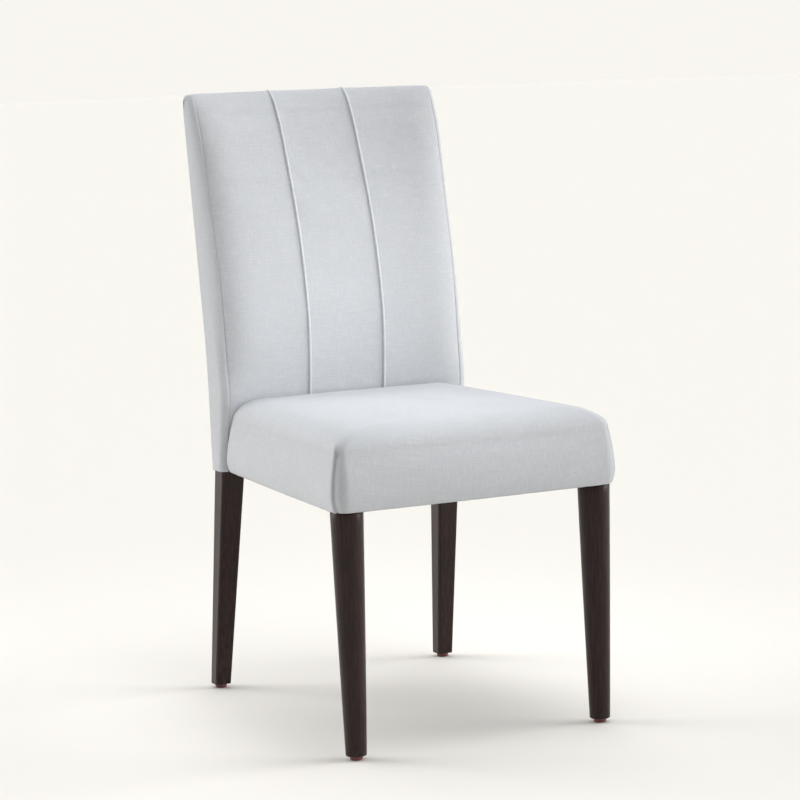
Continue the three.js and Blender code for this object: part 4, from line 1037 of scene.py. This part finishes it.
def seat_upholstery():
    """The boxed seat cover: one cloth over the top and down the sides, darted at the front corners."""
    levels = np.linspace(SKIRT, SEAT_ROUND_START, 34)
    grid = seat_rings(FINE_SEAT, levels, np.linspace(0.03, 0.985, 44))
    swell = seat_swell(grid)
    columns = grid.shape[1]
    corner = FINE_SEAT[0] + round(FINE_SEAT[1] * DART_TURN)
    rise, around = run_along(grid, 0), run_along(grid, 1)
    z = grid[:, :, 2]
    from_dart = np.minimum(*(np.abs(around - around[:, [at]]) for at in (corner, columns - corner)))
    near_front = grid[:, :, 1] < DART_FROM
    front_side = grid[:, :, 1] < grid[:, [corner], 1]
    open_share = ramp(DART_TOP - z, 0, DART_OPENS) * near_front
    dart = rolled_in(from_dart, 0.3, 1.3) - np.where(front_side, DART_STEP, 0) * np.exp(-from_dart / 8)
    fold = np.where(front_side, 0, DART_FOLD) * bell(from_dart - 2.6, 1.8)
    pull = ramp(DART_TOP - z, -16, 22) * near_front
    lift = SEAT_FULLNESS * swell - SEAT_SETTLING * settled(rise, 40) * ramp(swell, 0, 1.5)
    lift += open_share * (dart + fold)
    lift += near_front * (fold_at(EAR, z, from_dart) + front_side * fold_at(HOLLOW, z, from_dart))
    lift += pull * puckers(from_dart, rise, 41, 0.4, 11, 15)
    lift += np.exp(-rise / 16) * 0.3 * waves(around, 52, 26)
    lift += 0.22 * waves(rise + 0.3 * around, 61, 95) * bell(z - 440, 42)
    grid = raised(grid, lift, wrap=True)

    hem = []
    for share, drop in HEM_TURN:
        ring = grid[0].copy()
        toward = HEM_CENTRE - ring[:, :2]
        toward /= np.linalg.norm(toward, axis=1, keepdims=True)
        ring[:, :2] += toward * (HEM_WIDTH + 4) * share
        ring[:, 2] = SKIRT - drop + 0.9
        hem.append(ring)
    grid = np.concatenate([np.stack(hem), grid])
    added = len(hem)

    run = np.concatenate([run_along(grid[:added + 1], 0)[:-1] - HEM_WIDTH - 4, rise])
    edge_row = added + len(levels) + SEAT_ROUND_STEPS - 1
    below = np.arange(len(grid))[:, None] < edge_row
    drop = run[edge_row] - run
    index = np.arange(columns)
    rear_start = sum(FINE_SEAT[:3]) + 3
    at_front = (index <= corner) | (index >= columns - corner)
    at_rear = (index >= rear_start) & (index <= columns - rear_start)
    edge_x, edge_y = grid[edge_row, :, 0], grid[edge_row, :, 1]
    sideways = np.where(at_front | at_rear, 0, np.where(edge_x >= 0, 1, -1)) * drop
    lengthways = np.where(at_rear, 1, 0) * drop - at_front * drop
    cloth = np.stack([np.where(below, edge_x + sideways, grid[:, :, 0]),
                      np.where(below, edge_y + lengthways, grid[:, :, 1])], axis=2)
    seam = np.full(grid.shape[:2], float(UNSEWN))
    seam[added:] = np.where(open_share > 0.15, from_dart, UNSEWN)
    middle = (grid[:-1] + grid[1:]) / 2
    middle = (middle + np.roll(middle, -1, 1)) / 2
    x, y, height = np.abs(middle[:, :, 0]), middle[:, :, 1], middle[:, :, 2]
    from_leg = np.maximum(np.abs(x - LEG_X), np.abs(y - LEG_Y))
    on_head = (from_leg < HEAD_HALF + 0.6) & (height < RAIL_TOP)
    on_head[added:] = False
    at_rails = (x < RAIL_REAR_HALF + 0.8) & (y > RAIL_REAR - 30) & (height < HEM)
    marks = {"seam": seam, "run": run}
    shell = grid, FABRIC, cloth, marks, True, on_head | at_rails, True
    soft_piece("seat_upholstery", "linen_cover", "seat_cover", 0.9, *shell)


def stuffing(node):
    """A foam core from a solid's own form: remeshed, rounded and drawn in a little under its cover."""
    piece = placed(node + "_core", frame["nodes"][node].data.copy())
    for kind, settings in STUFFING.items():
        set_up(piece.modifiers.new(kind, kind), settings)
    made = bpy.data.meshes.new_from_object(piece.evaluated_get(bpy.context.evaluated_depsgraph_get()))
    piece.modifiers.clear()
    piece.data = made
    made.polygons.foreach_set("use_smooth", [True] * len(made.polygons))
    fit_piece(piece, "foam", node)


def dust_cloth():
    """The black cloth under the seat, cut round the legs, stapled to the rails and sagging a little."""
    front, waist, rear = RAIL_FRONT + DUST_INSET, RAIL_REAR - DUST_INSET, REAR_RAIL_BACK - DUST_INSET
    notch, leg_side, leg_end = POST_INNER - 0.6, LEG_X - HEAD_HALF - 0.3, LEG_Y + HEAD_HALF + 0.3
    bands = ((front, leg_end, 9), (leg_end, waist, 91), (waist, rear, 9))
    y = np.unique(np.concatenate([np.linspace(*band) for band in bands]))
    half = lerp(RAIL_FRONT_HALF, RAIL_REAR_HALF, ramp(y, front, RAIL_REAR - front)) - DUST_INSET
    inner = np.append(np.linspace(0, notch, 34), [lerp(notch, leg_side, 0.5), leg_side])
    outer = np.linspace(0, 1, 6)[1:]
    x = np.hstack([np.repeat(inner[None], len(y), 0), leg_side + outer[None] * (half[:, None] - leg_side)])
    x = np.hstack([x[:, ::-1], -x[:, 1:]])
    y = np.repeat(y[:, None], x.shape[1], 1)
    free_x = np.clip(1 - (np.abs(x) / (half[:, None] - 12)) ** 2, 0, 1)
    free_y = ramp(y, front + 12, 60) * ramp(rear - 12 - y, 0, 60)
    drop = DUST_SAG * free_x * free_y + 0.5 * np.sin(x / 31) * np.sin(y / 43 + 0.6) * free_x
    drape = np.stack([x, y, DUST_LEVEL - np.maximum(drop, 0)], axis=2)
    edge = np.minimum(half[:, None] - np.abs(x), np.minimum(y - front, rear - y))
    drape[:, :, 2] -= 0.35 * np.exp(-np.maximum(edge, 0) / 6) * (1 + np.sin((x + y) / 5.4))
    middle = (drape[:-1] + drape[1:]) / 2
    middle = (middle[:, :-1] + middle[:, 1:]) / 2
    over_legs = (np.abs(middle[:, :, 0]) > leg_side) & (middle[:, :, 1] < leg_end)
    over_posts = (np.abs(middle[:, :, 0]) > notch) & (middle[:, :, 1] > waist)
    piece = cloth_shell("dust_cloth", drape, -DUST_CLOTH, drape[:, :, :2], {}, dropped=over_legs | over_posts)
    fit_piece(piece, "black_cloth", "dust_cover")
    staples(front, waist, rear, leg_end)


def staples(front, waist, rear, leg_end):
    """Wire staples along the dust cloth's edge."""
    places = [(x, front + 5, 0) for x in np.arange(-150, 151, 37.5)]
    places += [(x, rear - 5, 0) for x in np.arange(-150, 151, 50)]
    for y in np.arange(leg_end + 14, waist - 4, 41):
        half = lerp(RAIL_FRONT_HALF, RAIL_REAR_HALF, (y - front) / (RAIL_REAR - front)) - DUST_INSET - 5
        places += [(half, y, 1), (-half, y, 1)]
    box = ((3, 2, 1, 0), (4, 5, 6, 7), (0, 1, 5, 4), (1, 2, 6, 5), (2, 3, 7, 6), (3, 0, 4, 7))
    crown_and_legs = ((0, 5.2, -0.55, -0.05), (-4.9, 0.3, -0.1, 5), (4.9, 0.3, -0.1, 5))
    points, faces = [], []
    for x, y, along in places:
        turn = math.radians(90 * along + 7 * math.sin(x * 3 + y))
        z = DUST_LEVEL - DUST_CLOTH
        for middle, half, low, high in crown_and_legs:
            faces += [[len(points) + k for k in ring] for ring in box]
            for h in (z + low, z + high):
                for dx, dy in ((-1, -1), (1, -1), (1, 1), (-1, 1)):
                    px, py = middle + dx * half, dy * 0.5
                    points.append((x + px * math.cos(turn) - py * math.sin(turn),
                                   y + px * math.sin(turn) + py * math.cos(turn), h))
    piece = mesh_of("dust_cloth_staples", points, faces, smooth=False)
    fit_piece(piece, "steel")


# ---- Legs ----

def turned_leg(hand):
    """A tapered round leg with the square head that its rails join."""
    sides = 96
    angles = np.linspace(0, 2 * math.pi, sides, endpoint=False)

    def ring(x, y, z):
        return np.column_stack([LEG_X + x, LEG_Y + y, np.full(sides, z)])

    def circle(radius, z):
        return ring(radius * np.cos(angles), radius * np.sin(angles), z)

    def head(z, inset=0.0):
        outline = []
        corners = [(1, -1, HEAD_ROUND), (1, 1, HEAD_EDGE), (-1, 1, HEAD_EDGE), (-1, -1, HEAD_EDGE)]
        for k, (sx, sy, radius) in enumerate(corners):
            start = (k - 1) * math.pi / 2
            for a in np.linspace(start, start + math.pi / 2, 13):
                outline.append((sx * (HEAD_HALF - radius) + (radius - inset) * math.cos(a),
                                sy * (HEAD_HALF - radius) + (radius - inset) * math.sin(a)))
        x, y = np.array(outline + outline[:1]).T
        turn = np.unwrap(np.arctan2(y, x))
        wanted = angles + 2 * math.pi * np.ceil((turn[0] - angles) / (2 * math.pi))
        return ring(np.interp(wanted, turn, x), np.interp(wanted, turn, y), z)

    def radius_at(z):
        share = (z - GLIDE) / (LEG_SHAFT_TOP - GLIDE)
        return lerp(LEG_FOOT, LEG_TOP, share) + LEG_BELLY * math.sin(math.pi * share)

    foot = ((0, 1.2), (0.25, 0.5), (1.0, 0))
    rings = [circle(radius_at(GLIDE) - inset, GLIDE + rise) for rise, inset in foot]
    rings += [circle(radius_at(z), z) for z in np.linspace(GLIDE + 6, LEG_SHAFT_TOP - 1.5, 24)]
    rings += [circle(LEG_TOP - 0.4, LEG_SHAFT_TOP - 0.4), circle(LEG_TOP - 1.2, LEG_SHAFT_TOP)]
    rings += [head(LEG_SHAFT_TOP + 0.1, 0.6), head(LEG_SHAFT_TOP + 0.8)]
    rings += [head(RAIL_TOP - 0.8), head(RAIL_TOP, 0.8)]
    if hand == "right":
        rings = [level[::-1] * [-1, 1, 1] for level in rings]
    piece = ring_piece("front_leg_turned_" + hand, rings)
    fit_piece(piece, "stained_wood", "front_leg_" + hand)


# ---- Light, floor and camera ----

def sky_light():
    """A pale studio: cream near the horizon, dimmer overhead, brighter on one side."""
    world = bpy.data.worlds.new("studio")
    bpy.context.scene.world = world
    world.use_nodes = True
    f = Finish(tree=world.node_tree)
    place = f.node("TexCoord")
    height = f.part(place, "Z")
    colour = f.node("ValToRGB", {}, {0: height})
    ramp_node = colour.socket.node.color_ramp
    ramp_node.interpolation = "EASE"
    while len(ramp_node.elements) < len(SKY_STOPS):
        ramp_node.elements.new(0.5)
    for stop, (position, tone) in zip(ramp_node.elements, SKY_STOPS):
        stop.position = position
        stop.color = (*tone, 1)
    facing = f.node("VectorMath", {"operation": "DOT_PRODUCT"}, {0: place, 1: SKY_LEAN}, out=1)
    colour = f.blend(height.between(0.06, 0.16), colour, f.blend(facing + 0.5, DIM_SKY, BRIGHT_SKY))
    f.node("OutputWorld", {}, {"Surface": f.node("Background", {}, {"Color": colour})})


def lamp(name, kind, strength, colour, place, aim, **settings):
    light = bpy.data.lights.new(name, kind)
    holder = placed(name, set_up(light, {"energy": strength, "color": colour, **settings}))
    holder.location = place
    holder.rotation_euler = (Vector(aim) - Vector(place)).to_track_quat("-Z", "Y").to_euler()


def studio_floor():
    turns = np.linspace(0, 2 * math.pi, 96, endpoint=False)
    points = np.column_stack([np.cos(turns), np.sin(turns), np.zeros(len(turns))]) * FLOOR_RADIUS
    floor = mesh_of("studio_floor", points, [list(range(len(turns)))])
    f = Finish("pale_floor")
    floor.data.materials.append(f.surface((*FLOOR, 1), rough=1.0, specular=0.0))


def photo_camera():
    """The camera that the photograph was taken with."""
    turn, tilt, roll = map(math.radians, (CAMERA_TURN, CAMERA_TILT, CAMERA_ROLL))
    back = Vector((math.sin(turn) * math.cos(tilt), -math.cos(turn) * math.cos(tilt), math.sin(tilt)))
    right = Vector((math.cos(turn), math.sin(turn), 0))
    up = back.cross(right).normalized()
    across = math.cos(roll) * right + math.sin(roll) * up
    upward = -math.sin(roll) * right + math.cos(roll) * up
    spot = Vector(CAMERA_TARGET) + back * CAMERA_DISTANCE
    lens = FOCAL_LENGTH * SENSOR_WIDTH / PHOTO_WIDTH
    settings = {"sensor_fit": "HORIZONTAL", "sensor_width": SENSOR_WIDTH, "lens": lens, "clip_end": 1000}
    camera = placed("photo_camera", set_up(bpy.data.cameras.new("photo_camera"), settings))
    camera.matrix_world = Matrix([*zip(across, upward, back, spot), (0, 0, 0, 1)])
    bpy.context.scene.camera = camera


# ---- The chair ----

photo_camera()
studio_floor()
sky_light()
for name, (strength, colour, place, angle) in SUNS.items():
    lamp(name, "SUN", strength, colour, place, (0, 0, 0), angle=math.radians(angle))
for name, (strength, place, aim, size, spread) in AREA_LAMPS.items():
    lamp(name, "AREA", strength, (1.0, 1.0, 1.0), place, aim, size=size, spread=math.radians(spread))
bpy.context.scene.view_settings.view_transform = "Standard"

finishes = {
    "stained_wood": espresso_wood("espresso_wood"),
    "raw_wood": planed_wood("planed_beech"),
    "linen_cover": linen_cover("ice_grey_linen"),
    "foam": cut_foam("cut_foam", (0.74, 0.66, 0.42), (0.84, 0.78, 0.55), 1.6),
    "wadding": cut_foam("loose_wadding", (0.8, 0.79, 0.76), (0.9, 0.89, 0.87), 3.0),
    "webbing": webbing_weave("seat_webbing"),
    "black_cloth": bonded_cloth("bonded_black_cloth"),
    "steel": zinc_steel("zinc_plated_steel"),
    "glide_plastic": glide_plastic("red_brown_glide"),
}
for sub in frame["record"]["subparts"]:
    node = frame["nodes"][sub["node"]]
    node.data.materials.clear()
    node.data.materials.append(finishes[sub["material_slot"]])

inside_back()
outside_back()
for hand in ("left", "right"):
    side_strip(hand)
seat_upholstery()
for node in ("seat_foam", "back_foam"):
    stuffing(node)
dust_cloth()
for hand in ("left", "right"):
    turned_leg(hand)
